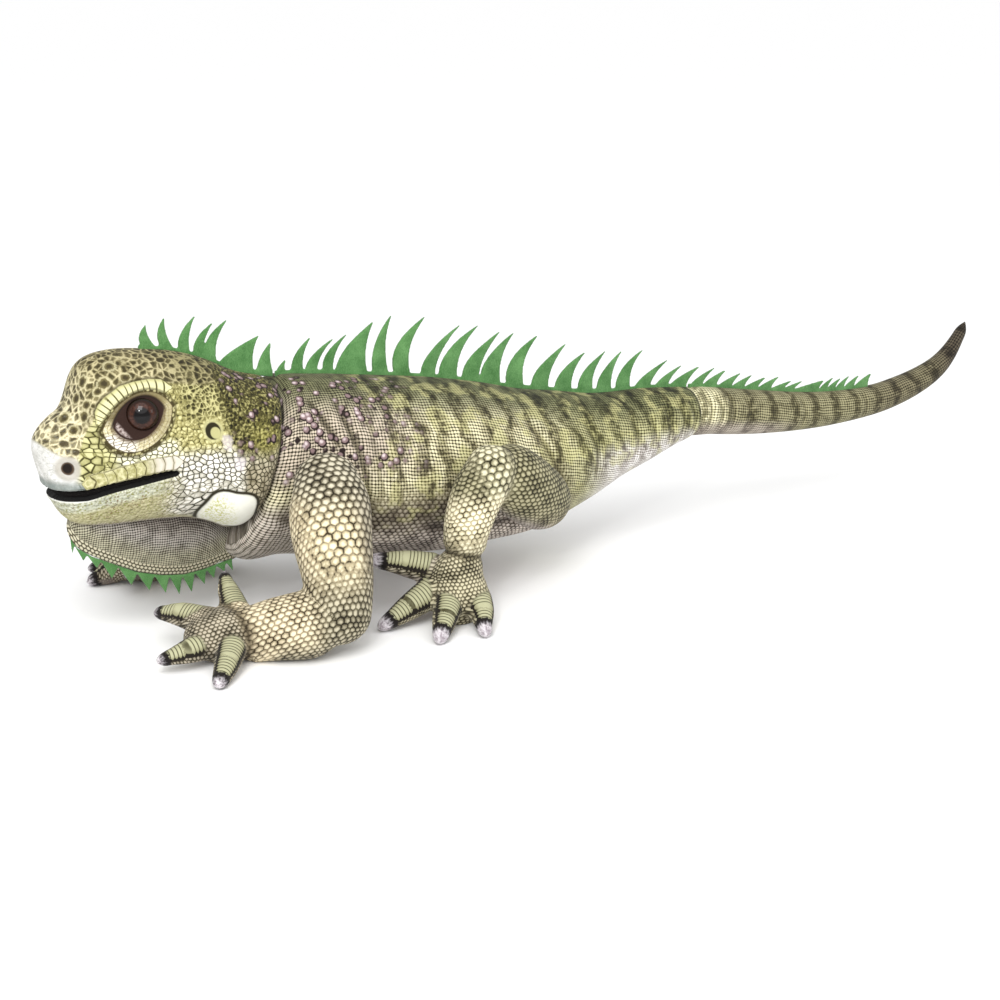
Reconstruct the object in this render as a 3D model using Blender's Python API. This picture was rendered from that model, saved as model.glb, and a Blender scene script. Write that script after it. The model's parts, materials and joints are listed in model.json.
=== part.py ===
"""Stuffed toy green iguana: printed plush body, felt crest and plastic eyes, as closed solids.

Frame: metres, +Z up, floor at z = 0, head towards -X, the toy's left side towards -Y.
The shapes are laid out on a middle plane y = 0 and moved at the end, so that the origin lies
on the floor under the middle of the whole toy.
"""

import math

import bmesh
import bpy
from mathutils import Vector

MM = 0.001
GAP = 0.0003            # air between two pieces that touch
GROWN = 0.0006          # how far a cutter stands off the piece it copies, so that GAP is kept
FELT = 0.0028           # thickness of the crest felt
BODY_SIDES = 26
HEAD_SIDES = 26
LIMB_SIDES = 14
DIGIT_SIDES = 10
SHARP_ANGLE = 50        # degrees between two faces from which an edge is shaded sharp

CLOTH_ROUGHNESS = 0.85
FELT_ROUGHNESS = 0.95
EYE_ROUGHNESS = 0.1

SKIN = (0.42, 0.40, 0.24)
TAIL_SKIN = (0.36, 0.34, 0.22)
LIMB_SKIN = (0.58, 0.55, 0.36)
DEWLAP_SKIN = (0.40, 0.36, 0.32)
FELT_GREEN = (0.10, 0.37, 0.12)
BLACK_FELT = (0.01, 0.01, 0.012)
EYE_BROWN = (0.06, 0.025, 0.015)

# A cross-section of the head or body: the top and bottom points on the middle plane, the half
# width, and how far up from the bottom the widest place lies.
# (top x, top z, bottom x, bottom z, half width, widest at), in millimetres but for the last
HEAD_SECTIONS = (
    (-395.5, 167.0, -396.0, 150.0, 11.0, 0.50),
    (-390.5, 174.5, -390.5, 129.0, 20.0, 0.52),
    (-382.5, 181.5, -382.5, 110.0, 27.5, 0.50),
    (-373.5, 188.0, -373.5, 100.5, 32.5, 0.46),
    (-367.5, 200.0, -364.0, 97.0, 36.5, 0.44),
    (-361.5, 215.0, -352.0, 95.0, 40.5, 0.48),
    (-351.0, 222.5, -338.0, 94.0, 45.0, 0.50),
    (-333.0, 225.0, -321.0, 93.5, 48.5, 0.50),
    (-312.0, 223.5, -304.0, 93.0, 50.5, 0.46),
    (-289.0, 220.0, -289.0, 92.0, 54.0, 0.40),
    (-265.0, 212.0, -274.0, 88.0, 58.5, 0.36),
    (-236.0, 198.0, -262.0, 82.0, 61.0, 0.38),
    (-206.0, 192.5, -251.0, 76.0, 58.5, 0.42),
)
NOSE_TIP = (-397.5, 159.0)
NECK_SECTIONS = (
    (-206.0, 192.5, -258.6, 57.0, 57.5, 0.50),
    (-201.0, 192.0, -241.0, 49.0, 59.5, 0.52),
    (-194.0, 192.0, -217.0, 50.0, 60.0, 0.52),
    (-185.0, 191.5, -196.0, 47.5, 63.0, 0.50),
)
TRUNK_SECTIONS = (
    (-185.0, 191.5, -196.0, 47.5, 63.0, 0.50),
    (-163.0, 189.0, -168.0, 43.5, 68.0, 0.48),
    (-138.0, 185.0, -140.0, 38.0, 71.0, 0.46),
    (-100.0, 180.0, -100.0, 33.0, 73.0, 0.45),
    (-50.0, 172.0, -50.0, 30.5, 72.0, 0.45),
    (-5.0, 161.0, -5.0, 31.5, 66.5, 0.46),
    (35.0, 153.0, 35.0, 37.0, 59.0, 0.48),
    (75.0, 146.0, 75.0, 49.5, 49.0, 0.50),
    (115.0, 141.5, 115.0, 65.0, 39.0, 0.50),
    (155.0, 140.0, 155.0, 78.0, 31.5, 0.50),
    (185.0, 138.0, 185.0, 87.0, 26.0, 0.50),
    (198.0, 136.3, 198.0, 90.5, 23.5, 0.50),
)
# (x, z, radius) along the middle of the tail, in millimetres
TAIL_LINE = (
    (198.0, 113.4, 22.9),
    (220.0, 111.4, 21.8),
    (250.0, 106.9, 21.3),
    (280.0, 102.8, 20.6),
    (320.0, 98.3, 18.8),
    (360.0, 95.7, 17.0),
    (400.0, 95.6, 15.3),
    (430.0, 97.4, 14.2),
    (452.0, 101.0, 13.6),
    (474.0, 106.2, 12.7),
    (496.0, 113.6, 11.4),
    (513.0, 122.5, 9.8),
    (525.5, 133.5, 8.0),
    (534.5, 144.8, 6.4),
    (541.0, 154.5, 5.0),
)
TAIL_TIP = (545.3, 162.0)
TAIL_CUTS = (3, 7)      # stations of TAIL_LINE where one length ends and the next begins

# Felt blades of the crest, nose to tail:
# (front of its foot, width of the foot, lean of the tip behind the foot, height), in mm
HEAD_BLADES = (
    (-312, 11, -6.5, 19), (-297, 10, -5.5, 26), (-283, 9, 6.5, 29), (-271, 8, 9.5, 27),
    (-262, 9, 10.5, 33), (-250, 27, 5.5, 28), (-220, 13, -0.5, 25),
)
BACK_BLADES = (
    (-203.5, 7, 1, 11), (-191, 10, 7.5, 28), (-179, 10, 16.5, 26), (-164, 9, 13.5, 30),
    (-153, 28, 6.5, 42), (-120, 14, 4.5, 48), (-101, 15, 14.5, 48), (-76, 13, 25.5, 41),
    (-59, 17, 20.5, 43), (-37, 16, 21.5, 41), (-19, 19, 14.5, 43), (6, 17, 14.5, 44),
    (31, 17, 18.5, 38), (55, 17, 14.5, 33), (79, 15, 12.5, 34), (99, 15, 11.5, 34),
    (119, 15, 13.5, 34), (140, 16, 19.5, 23), (163, 13, 16.5, 18), (180, 17, 15.5, 17),
)
TAIL_BLADES = (
    (203, 12, 14, 16), (217, 14, 12, 15), (235, 14, 11, 13), (251, 13, 9, 12),
    (266, 14, 11, 11), (282, 14, 10, 12), (298, 13, 12, 9), (312, 12, 12, 9), (326, 29, 7, 10),
    (357, 9, 7, 12), (367, 9, 7, 11), (378, 9, 6, 12), (389, 11, 6, 12), (402, 16, 4, 12),
)
# Where each strip of the crest begins and ends along the body, in mm
HEAD_STRIP = (-314, -207)
BACK_STRIP = (-205, 196.5)
TAIL_STRIP = (199, 418)
STRIP_CLEAR = 0.39      # air between the ridge and the felt that stands on it, in millimetres
STRIP_HEIGHT = 4.6      # of the felt between two blades, in millimetres
STRAIGHT_BEND = 0.07    # how far an upright blade's front edge bows, as a share of its height
LEANING_BEND = 0.13     # what a blade that leans over FULL_LEAN adds to that
FULL_LEAN = 14          # in millimetres
REAR_BEND = 0.45        # bow of a blade's rear edge, as a share of its front edge's
EDGE_STEPS = 3          # straight lengths along each edge of a blade
SHORTEST_EDGE = 0.4     # corners of an outline nearer than this fall together, in millimetres

# The dewlap, a lens-shaped bag under the jaw: (x, keel z, root z, half thickness), in mm
DEWLAP_SECTIONS = (
    (-376.0, 90.0, 97.0, 4.0),
    (-370.0, 79.5, 96.0, 7.5),
    (-359.0, 71.0, 95.0, 11.5),
    (-343.0, 62.5, 94.0, 15.0),
    (-325.0, 53.0, 93.0, 17.0),
    (-305.0, 47.0, 92.0, 18.0),
    (-287.0, 44.5, 91.0, 17.0),
    (-270.0, 46.0, 86.0, 13.5),
    (-256.0, 49.0, 76.0, 8.0),
    (-246.0, 50.5, 66.0, 4.5),
)
DEWLAP_SIDES = 14
DEWLAP_ENDS = (-377.5, -241.0)          # x of the bag's front and rear points
KEEL_WIDTH = 0.28       # half thickness at the keel, as a share of the widest
FULL_SWELL = 2 / 3      # height from the keel at which the bag is at its widest, as a share
FRINGE_FELT = 0.0016
FRINGE_CLEAR = 0.45     # air between the keel and the toothed felt, in millimetres
FRINGE_STRIP = 1.6      # of the felt between two teeth, in millimetres
FRINGE_LEAN = 2.0       # how far the teeth lean back from their feet
FRINGE_SLIT = 0.2       # how far each tooth's foot stays clear of the next one, in millimetres
# The points of the teeth along the keel, front to back: (x, z), in mm
FRINGE_POINTS = (
    (-374, 75), (-366, 68.5), (-356, 61), (-345, 51), (-330, 43), (-316, 36), (-303, 31.5),
    (-292, 28.5), (-282, 28.5), (-271, 33), (-263, 36.5), (-254, 40.5), (-247, 40),
)

# The mouth, a narrow slot that rises to its corners: (x, z, height) from the front back, in mm
MOUTH_LINE = (
    (-410.0, 125.2, 6.0),
    (-389.0, 126.2, 6.0),
    (-370.0, 128.0, 6.0),
    (-359.5, 130.7, 5.4),
    (-348.0, 133.2, 4.8),
    (-331.0, 136.2, 4.2),
    (-314.0, 138.9, 3.0),
    (-306.0, 139.6, 1.2),
)
MOUTH_LIP = 3.0         # how deep the lining sits behind the lips
MOUTH_WIDTH = 0.14      # of the cutter that opens the slot right across the head
CORNER_SET_BACK = 4.0   # how far the lining ends short of the mouth's corners

EYE_CENTRE = (-329.5, 42.0, 184.0)      # x, distance from the middle plane, z
EYE_FORWARD = 20.0      # degrees that the eye looks ahead of straight out
EYE_UP = 6.0
EYE_SIDES = 20
# The eye's half ball from its sunk back to its front: (depth, radius), in mm
EYE_PROFILE = ((-3.0, 10.4), (0.0, 12.0), (3.4, 11.2), (6.2, 8.4), (7.9, 4.4))
EYE_HEIGHT = 8.4

# Limb lines: (x, distance from the middle plane, z, radius), in millimetres
LEFT_ARM = (
    (-199, 72, 121, 25), (-204, 87, 108, 30.5), (-208, 98, 88, 30.5), (-211, 111, 58, 26.5),
    (-212, 114, 31, 24.5),
)
LEFT_FOREARM = (
    (-218, 112, 28, 19.0), (-232, 109, 27, 25.5), (-253, 98, 23, 24), (-267, 88, 19, 21.5),
)
LEFT_PALM = (
    (-263, 90, 20, 21.0), (-279, 82, 18.5, 22.5), (-292, 77, 18, 23.0), (-302, 73, 17.5, 18.5),
)
LEFT_FINGERS = (
    ((-275, 68, 29), (-272, 50, 40), (-269.5, 39, 46.5)),
    ((-294, 64, 25), (-308, 46, 28.5), (-317, 34, 28)),
    ((-303, 83, 18), (-321, 85, 15), (-335, 84, 12.5)),
    ((-290, 95, 17), (-302, 113, 11.5), (-313, 127, 6.6)),
)
RIGHT_ARM = (
    (-199, 72, 121, 25), (-202, 87, 108, 30.5), (-203, 99, 88, 30.5), (-204, 114, 58, 27.0),
    (-205, 119, 31, 24.5),
)
RIGHT_FOREARM = (
    (-209, 121, 28, 19.0), (-221, 125, 27, 25.5), (-234, 129, 23, 24), (-247, 131, 19, 21.5),
)
RIGHT_PALM = (
    (-243, 131, 20, 21.0), (-259, 132, 18.5, 22.5), (-272, 132, 18, 23.0), (-283, 132, 17.5, 18.5),
)
RIGHT_FINGERS = (
    ((-267, 115, 26), (-277, 100, 33), (-285, 90, 39)),
    ((-280, 120, 17), (-287, 111, 17), (-294, 102, 18)),
    ((-287, 134, 15), (-300, 135, 10), (-310, 136, 6.6)),
    ((-275, 150, 14), (-289, 159, 9.5), (-300, 164, 7.0)),
)
LEFT_THIGH = (
    (15, 44, 69, 23), (-1, 58, 77, 27.5), (-24, 73, 93, 27.5), (-46, 82, 110, 24), (-57, 86, 117, 14),
)
LEFT_SHIN = ((-62, 87, 117, 20.5), (-78, 92, 99, 20.5), (-89, 95, 78, 19.5), (-93, 95, 54, 15.8))
LEFT_FOOT = ((-94, 95, 52, 15.8), (-98, 95, 36, 21.0), (-98, 95, 22, 23), (-99, 93, 10, 19.0))
LEFT_TOES = (
    ((-111, 74, 39), (-128, 65, 43), (-145, 57, 46)),
    ((-116, 86, 24), (-138, 88, 16), (-157, 89, 8.0)),
    ((-110, 102, 21), (-124, 119, 13), (-135, 132, 7.4)),
    ((-90, 107, 20), (-94, 123, 13), (-100, 137, 7.4)),
)
RIGHT_THIGH = (
    (22, 44, 69, 23), (8, 58, 77, 27.5), (-10, 74, 91, 27.5), (-27, 85, 106, 24), (-36, 91, 112, 14),
)
RIGHT_SHIN = ((-38, 92, 112, 20.5), (-46, 98, 96, 20.5), (-51, 102, 77, 19.5), (-54, 104, 54, 15.8))
RIGHT_FOOT = (
    (-55, 104, 52, 15.8), (-58, 104, 36, 20.0), (-59, 104, 22, 21.5), (-60, 104, 10, 18.0),
)
RIGHT_TOES = (
    ((-73, 92, 35), (-90, 81, 38), (-104, 73, 39)),
    ((-76, 106, 21), (-97, 110, 13), (-115, 114, 6.8)),
    ((-68, 117, 19), (-80, 133, 12), (-90, 145, 6.8)),
    ((-50, 118, 19), (-51, 134, 12), (-52, 148, 6.8)),
)
FINGER_RADII = (12.4, 9.6, 6.2)
TOE_RADII = (12.8, 10.6, 6.8)
FLAT_PALM = 0.88        # thickness of a hand against its width
# A round end beyond the last ring: how far out one more ring and the pole lie, and that ring's
# size, as shares of the last ring's radius
CAP_RING_REACH = 0.62
CAP_RING_SIZE = 0.66
CAP_REACH = 0.9


def material(name, colour, roughness):
    """A plain Principled material."""
    made = bpy.data.materials.new(name)
    made.use_nodes = True
    shader = made.node_tree.nodes["Principled BSDF"]
    shader.inputs["Base Color"].default_value = (*colour, 1.0)
    shader.inputs["Roughness"].default_value = roughness
    made.diffuse_color = (*colour, 1.0)
    return made


def add_object(name, mesh, colour, roughness):
    """Links a mesh as a named object with its own material, shaded smooth."""
    made = bpy.data.objects.new(name, mesh)
    bpy.context.scene.collection.objects.link(made)
    mesh.materials.append(material(name + "_finish", colour, roughness))
    mesh.shade_smooth()
    mesh.set_sharp_from_angle(angle=math.radians(SHARP_ANGLE))
    return made


def loft(name, rings, front, back, colour, roughness=CLOTH_ROUGHNESS):
    """A closed solid through rings of equal count; an end is a pole point or None for a flat cap."""
    builder = bmesh.new()
    rows = [[builder.verts.new(point) for point in ring] for ring in rings]
    count = len(rows[0])
    for near, far in zip(rows, rows[1:]):
        for i in range(count):
            j = (i + 1) % count
            builder.faces.new((near[i], near[j], far[j], far[i]))
    for row, pole in ((rows[0], front), (rows[-1], back)):
        if pole is None:
            builder.faces.new(row)
        else:
            tip = builder.verts.new(pole)
            for i in range(count):
                builder.faces.new((row[i], row[(i + 1) % count], tip))
    bmesh.ops.recalc_face_normals(builder, faces=builder.faces)
    mesh = bpy.data.meshes.new(name)
    builder.to_mesh(mesh)
    builder.free()
    return add_object(name, mesh, colour, roughness)


def section_ring(section, sides):
    """Points of a cross-section that is symmetric about the middle plane."""
    top = Vector((section[0], 0, section[1])) * MM
    bottom = Vector((section[2], 0, section[3])) * MM
    middle = bottom.lerp(top, section[5])
    ring = []
    for i in range(sides):
        angle = 2 * math.pi * (i + 0.5) / sides + math.pi / 2
        lift = math.sin(angle)
        point = middle.lerp(top, lift) if lift > 0 else middle.lerp(bottom, -lift)
        ring.append(point + Vector((0, section[4] * MM * math.cos(angle), 0)))
    return ring


def tail_sections():
    """The tail's line as cross-sections square to it."""
    line = [Vector((x, 0, z)) for x, z, _ in TAIL_LINE] + [Vector((TAIL_TIP[0], 0, TAIL_TIP[1]))]
    sections = []
    for i, (_, _, radius) in enumerate(TAIL_LINE):
        along = (line[i + 1] - line[max(i - 1, 0)]).normalized()
        if i == 0:
            along = Vector((1, 0, 0))
        up = Vector((-along.z, 0, along.x)) * radius
        top = line[i] + up
        bottom = line[i] - up
        sections.append((top.x, top.z, bottom.x, bottom.z, radius, 0.5))
    return sections


def shifted(section, along):
    """A cross-section moved along its own normal, in millimetres."""
    tall = Vector((section[0] - section[2], 0, section[1] - section[3])).normalized()
    step = Vector((tall.z, 0, -tall.x)) * along
    return (section[0] + step.x, section[1] + step.z, section[2] + step.x, section[3] + step.z,
            section[4], section[5])


def body_length(name, sections, colour, sides=BODY_SIDES, front=None, back=None):
    """One length of the body. A flat end stands half a gap back from where its neighbour starts."""
    half_gap = GAP / MM / 2
    own = list(sections)
    if front is None:
        own[0] = shifted(own[0], half_gap)
    if back is None:
        own[-1] = shifted(own[-1], -half_gap)
    return loft(name, [section_ring(section, sides) for section in own], front, back, colour)


def tube_rings(line, sides, flat=1.0):
    """Rings square to a line of (x, y, z, radius) in metres, with no twist from one to the next."""
    points = [Vector(row[:3]) for row in line]
    side = None
    rings = []
    for i, point in enumerate(points):
        along = (points[min(i + 1, len(points) - 1)] - points[max(i - 1, 0)]).normalized()
        if side is None:
            side = Vector((0, 0, 1)).cross(along)
            if side.length < 0.5:
                side = Vector((0, 1, 0)).cross(along)
        side = (side - along * side.dot(along)).normalized()
        up = along.cross(side)
        radius = line[i][3]
        rings.append([
            point + side * radius * math.cos(angle) + up * radius * flat * math.sin(angle)
            for angle in (2 * math.pi * k / sides for k in range(sides))
        ])
    return rings


def rounded(line, at_start, at_end):
    """A limb line with one more ring near each end that closes in a round cap, and the poles."""
    rows = [tuple(row) for row in line]
    poles = []
    for end, wanted in ((0, at_start), (-1, at_end)):
        if not wanted:
            poles.append(None)
            continue
        tip, inner = Vector(rows[end][:3]), Vector(rows[1 if end == 0 else -2][:3])
        out = (tip - inner).normalized()
        radius = rows[end][3]
        extra = (*(tip + out * radius * CAP_RING_REACH), radius * CAP_RING_SIZE)
        poles.append(tip + out * radius * CAP_REACH)
        rows = [extra] + rows if end == 0 else rows + [extra]
    return rows, poles


def placed(line, side):
    """A limb line in metres on one side of the body: side is -1 for the left and 1 for the right."""
    return [(row[0] * MM, row[1] * MM * side, *(value * MM for value in row[2:])) for row in line]


def limb_piece(name, line, side, at_start, at_end, sides=LIMB_SIDES, flat=1.0):
    """A tube along a limb line, with a round end or a flat one half a gap short of the next."""
    rows = placed(line, side)
    for end, wanted in ((0, at_start), (-1, at_end)):
        if wanted:
            continue
        tip, inner = Vector(rows[end][:3]), Vector(rows[1 if end == 0 else -2][:3])
        tip += (inner - tip).normalized() * GAP
        rows[end] = (*tip, rows[end][3])
    rows, poles = rounded(rows, at_start, at_end)
    made = loft(name, tube_rings(rows, sides, flat), poles[0], poles[1], LIMB_SKIN)
    rest_on_floor(made)
    return made


def rest_on_floor(piece):
    """Lays what would dip below the floor flat on it."""
    for vertex in piece.data.vertices:
        vertex.co.z = max(vertex.co.z, 0.0)


def moved_along_normals(piece, distance):
    """Moves every vertex of a piece out along its own normal, or in where the distance is negative."""
    normals = [vertex.normal.copy() for vertex in piece.data.vertices]
    for vertex, normal in zip(piece.data.vertices, normals):
        vertex.co += normal * distance


def copy_of(piece):
    """A second piece with its own copy of a piece's mesh."""
    made = piece.copy()
    made.data = piece.data.copy()
    bpy.context.scene.collection.objects.link(made)
    return made


def fitted(piece, neighbours):
    """Cuts a piece back so that it clears its neighbours by the gap."""
    for neighbour in neighbours:
        cutter = copy_of(neighbour)
        moved_along_normals(cutter, GROWN)
        boolean(piece, cutter, "DIFFERENCE")


def boolean(piece, cutter, operation):
    """Applies an exact Boolean to a piece and removes the cutter."""
    modifier = piece.modifiers.new("fit", "BOOLEAN")
    modifier.operation = operation
    modifier.solver = "EXACT"
    modifier.object = cutter
    evaluated = piece.evaluated_get(bpy.context.evaluated_depsgraph_get())
    mesh = bpy.data.meshes.new_from_object(evaluated)
    piece.modifiers.clear()
    piece.data = mesh
    mesh.materials.clear()
    mesh.materials.append(bpy.data.materials[piece.name + "_finish"])
    bpy.data.objects.remove(cutter)


def prism(name, outline, thickness, colour):
    """A felt outline on the middle plane, given as (x, z) in millimetres, with a thickness."""
    builder = bmesh.new()
    corners = [builder.verts.new((x * MM, -thickness / 2, z * MM)) for x, z in outline]
    face = builder.faces.new(corners)
    other = bmesh.ops.extrude_face_region(builder, geom=[face])
    moved = [item for item in other["geom"] if isinstance(item, bmesh.types.BMVert)]
    bmesh.ops.translate(builder, verts=moved, vec=(0, thickness, 0))
    bmesh.ops.recalc_face_normals(builder, faces=builder.faces)
    mesh = bpy.data.meshes.new(name)
    builder.to_mesh(mesh)
    builder.free()
    return add_object(name, mesh, colour, FELT_ROUGHNESS)


def curved_edge(start, end, bow):
    """Points between two corners along an edge that bows towards -X by a length."""
    points = []
    for step in range(1, EDGE_STEPS):
        t = step / EDGE_STEPS
        x = start[0] + (end[0] - start[0]) * t - bow * 4 * t * (1 - t)
        z = start[1] + (end[1] - start[1]) * t
        points.append((x, z))
    return points


def height_on(line, x):
    """The height at x on a line of (x, z) points."""
    for (x0, z0), (x1, z1) in zip(line, line[1:]):
        if x0 <= x <= x1:
            return z0 + (z1 - z0) * (x - x0) / (x1 - x0)
    raise ValueError(f"{x} lies off the line")


def crest_strip(name, blades, ridge, ends):
    """A strip of felt cut into leaning blades, standing on the body's ridge line."""
    start, end = ends

    def strip_top(x):
        return (x, height_on(ridge, x) + STRIP_CLEAR + STRIP_HEIGHT)

    under = [start] + [x for x, _ in ridge if start < x < end] + [end]
    outline = [(x, height_on(ridge, x) + STRIP_CLEAR) for x in reversed(under)]
    outline.append(strip_top(start))
    for front, width, lean, height in blades:
        rear = front + width
        tip = (rear + lean, height_on(ridge, rear) + height)
        bow = height * (STRAIGHT_BEND + LEANING_BEND * min(1.0, abs(lean) / FULL_LEAN))
        outline.append(strip_top(front))
        outline += curved_edge(strip_top(front), tip, bow)
        outline.append(tip)
        outline += curved_edge(tip, strip_top(rear), bow * REAR_BEND)
        outline.append(strip_top(rear))
    outline.append(strip_top(end))
    cleaned = [outline[0]]
    for point in outline[1:]:
        if math.dist(point, cleaned[-1]) > SHORTEST_EDGE:
            cleaned.append(point)
    return prism(name, cleaned, FELT, FELT_GREEN)


def mouth_wedge(shrink, set_back):
    """A block in the mouth's outline, made smaller and ended early, in millimetres."""
    *line, (corner, corner_z, corner_tall) = MOUTH_LINE
    line.append((corner - set_back, corner_z, corner_tall))
    upper = [(x, z + tall / 2 - shrink) for x, z, tall in line]
    lower = [(x, z - tall / 2 + shrink) for x, z, tall in line]
    return prism("mouth_wedge", upper + lower[::-1], MOUTH_WIDTH, BLACK_FELT)


def make_mouth(head):
    """Opens the head's mouth slot and fills it with a lining set back behind the lips."""
    lining = copy_of(head)
    lining.name = "mouth_lining"
    lining.data.materials.clear()
    lining.data.materials.append(material("mouth_lining_finish", BLACK_FELT, FELT_ROUGHNESS))
    moved_along_normals(lining, -MOUTH_LIP * MM)
    boolean(head, mouth_wedge(0.0, 0.0), "DIFFERENCE")
    boolean(lining, mouth_wedge(GAP / MM, CORNER_SET_BACK), "INTERSECT")


def make_eye(name, side, head):
    """A plastic half ball set in a socket in the head's side."""
    turn = math.radians(EYE_FORWARD)
    lift = math.radians(EYE_UP)
    out = Vector((-math.sin(turn) * math.cos(lift), side * math.cos(turn) * math.cos(lift),
                  math.sin(lift)))
    up = Vector((0, 0, 1))
    across = up.cross(out).normalized()
    up = out.cross(across)
    centre = Vector((EYE_CENTRE[0], side * EYE_CENTRE[1], EYE_CENTRE[2])) * MM
    angles = [2 * math.pi * k / EYE_SIDES for k in range(EYE_SIDES)]
    rings = [
        [centre + (out * depth + (across * math.cos(angle) + up * math.sin(angle)) * radius) * MM
         for angle in angles]
        for depth, radius in EYE_PROFILE
    ]
    eye = loft(name, rings, None, centre + out * EYE_HEIGHT * MM, EYE_BROWN, EYE_ROUGHNESS)
    fitted(head, [eye])


def make_digits(name, lines, radii, side, neighbours):
    """Fingers or toes, each cut back to clear the hand and the digits made before it."""
    made = []
    for number, line in enumerate(lines, 1):
        rows = [(*point, radius) for point, radius in zip(line, radii)]
        digit = limb_piece(f"{name}_{number}", rows, side, True, True, sides=DIGIT_SIDES)
        fitted(digit, neighbours + made)
        made.append(digit)
    return made


def make_arm(which, side, arm, forearm, palm, fingers, trunk, neck):
    """Upper arm, forearm, hand and four fingers on one side."""
    upper = limb_piece(f"{which}_upper_arm", arm, side, True, True)
    fitted(upper, [trunk, neck])
    lower = limb_piece(f"{which}_forearm", forearm, side, False, False)
    fitted(lower, [upper, trunk])
    hand = limb_piece(f"{which}_hand", palm, side, False, True, flat=FLAT_PALM)
    fitted(hand, [lower])
    make_digits(f"{which}_finger", fingers, FINGER_RADII, side, [hand, lower])


def make_leg(which, side, thigh, shin, foot, toes, trunk):
    """Thigh, shin, foot and four toes on one side."""
    lower = limb_piece(f"{which}_shin", shin, side, True, False)
    fitted(lower, [trunk])
    upper = limb_piece(f"{which}_thigh", thigh, side, True, False)
    fitted(upper, [trunk, lower])
    sole = limb_piece(f"{which}_foot", foot, side, False, True)
    fitted(sole, [lower])
    make_digits(f"{which}_toe", toes, TOE_RADII, side, [sole, lower, trunk])


def make_dewlap(neighbours):
    """The bag under the jaw and the toothed felt along its keel."""
    rings = []
    for x, keel, root, half in DEWLAP_SECTIONS:
        ring = []
        for k in range(DEWLAP_SIDES):
            angle = 2 * math.pi * (k + 0.5) / DEWLAP_SIDES + math.pi / 2
            height = (math.sin(angle) + 1) / 2
            swell = KEEL_WIDTH + (1 - KEEL_WIDTH) * min(1.0, height / FULL_SWELL)
            ring.append(Vector((x, half * swell * math.cos(angle), keel + (root - keel) * height)) * MM)
        rings.append(ring)
    first, last = DEWLAP_SECTIONS[0], DEWLAP_SECTIONS[-1]
    front = Vector((DEWLAP_ENDS[0], 0, (first[1] + first[2]) / 2)) * MM
    back = Vector((DEWLAP_ENDS[1], 0, (last[1] + last[2]) / 2)) * MM
    bag = loft("dewlap", rings, front, back, DEWLAP_SKIN)
    fitted(bag, neighbours)

    keel = [(x, z) for x, z, _, _ in DEWLAP_SECTIONS]
    start, end = keel[0][0] + 1, keel[-1][0] - 1
    under = [start] + [x for x, _ in keel if start < x < end] + [end]
    outline = [(x, height_on(keel, x) - FRINGE_CLEAR) for x in under]
    feet = [(a[0] + b[0]) / 2 - FRINGE_LEAN for a, b in zip(FRINGE_POINTS, FRINGE_POINTS[1:])]
    feet = [start] + feet + [end]

    def foot(number, slit):
        x = feet[number]
        return (x + slit, height_on(keel, x) - FRINGE_CLEAR - FRINGE_STRIP)

    for number in reversed(range(len(FRINGE_POINTS))):
        outline.append(foot(number + 1, -FRINGE_SLIT))
        outline.append(FRINGE_POINTS[number])
        outline.append(foot(number, FRINGE_SLIT))
    fringe = prism("dewlap_fringe", outline, FRINGE_FELT, FELT_GREEN)
    fitted(fringe, [bag] + neighbours)


def move_to_origin():
    """Puts the origin on the floor under the middle of the whole toy."""
    corners = [vertex.co for piece in bpy.data.objects for vertex in piece.data.vertices]
    middle_x = (min(c.x for c in corners) + max(c.x for c in corners)) / 2
    middle_y = (min(c.y for c in corners) + max(c.y for c in corners)) / 2
    for piece in bpy.data.objects:
        for vertex in piece.data.vertices:
            vertex.co -= Vector((middle_x, middle_y, 0))


def ridge_line(*lengths):
    """(x, height) of the ridge along several runs of cross-sections with their side counts."""
    line = []
    for sections, sides in lengths:
        for section in sections:
            point = max(section_ring(section, sides), key=lambda corner: corner.z)
            if not line or point.x / MM > line[-1][0] + 0.2:
                line.append((point.x / MM, point.z / MM))
    return line


def main():
    for thing in list(bpy.data.objects):
        bpy.data.objects.remove(thing)

    tail = tail_sections()
    first_cut, second_cut = TAIL_CUTS
    nose = Vector((NOSE_TIP[0], 0, NOSE_TIP[1])) * MM
    end = Vector((TAIL_TIP[0], 0, TAIL_TIP[1])) * MM

    head = body_length("head", HEAD_SECTIONS, SKIN, HEAD_SIDES, front=nose)
    neck = body_length("neck", NECK_SECTIONS, SKIN)
    trunk = body_length("trunk", TRUNK_SECTIONS, SKIN)
    body_length("tail_base", tail[:first_cut + 1], TAIL_SKIN)
    body_length("tail_middle", tail[first_cut:second_cut + 1], TAIL_SKIN)
    body_length("tail_tip", tail[second_cut:], TAIL_SKIN, back=end)

    make_mouth(head)
    make_eye("eye_left", -1, head)
    make_eye("eye_right", 1, head)
    make_dewlap([head, neck])

    make_arm("left", -1, LEFT_ARM, LEFT_FOREARM, LEFT_PALM, LEFT_FINGERS, trunk, neck)
    make_arm("right", 1, RIGHT_ARM, RIGHT_FOREARM, RIGHT_PALM, RIGHT_FINGERS, trunk, neck)
    make_leg("left", -1, LEFT_THIGH, LEFT_SHIN, LEFT_FOOT, LEFT_TOES, trunk)
    make_leg("right", 1, RIGHT_THIGH, RIGHT_SHIN, RIGHT_FOOT, RIGHT_TOES, trunk)

    head_ridge = ridge_line((HEAD_SECTIONS, HEAD_SIDES))
    back_ridge = ridge_line((NECK_SECTIONS, BODY_SIDES), (TRUNK_SECTIONS, BODY_SIDES))
    tail_ridge = ridge_line((tail, BODY_SIDES))
    crest_strip("crest_head", HEAD_BLADES, head_ridge, HEAD_STRIP)
    crest_strip("crest_back", BACK_BLADES, back_ridge, BACK_STRIP)
    crest_strip("crest_tail", TAIL_BLADES, tail_ridge, TAIL_STRIP)
    move_to_origin()


if __name__ == "__main__":
    main()
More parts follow.
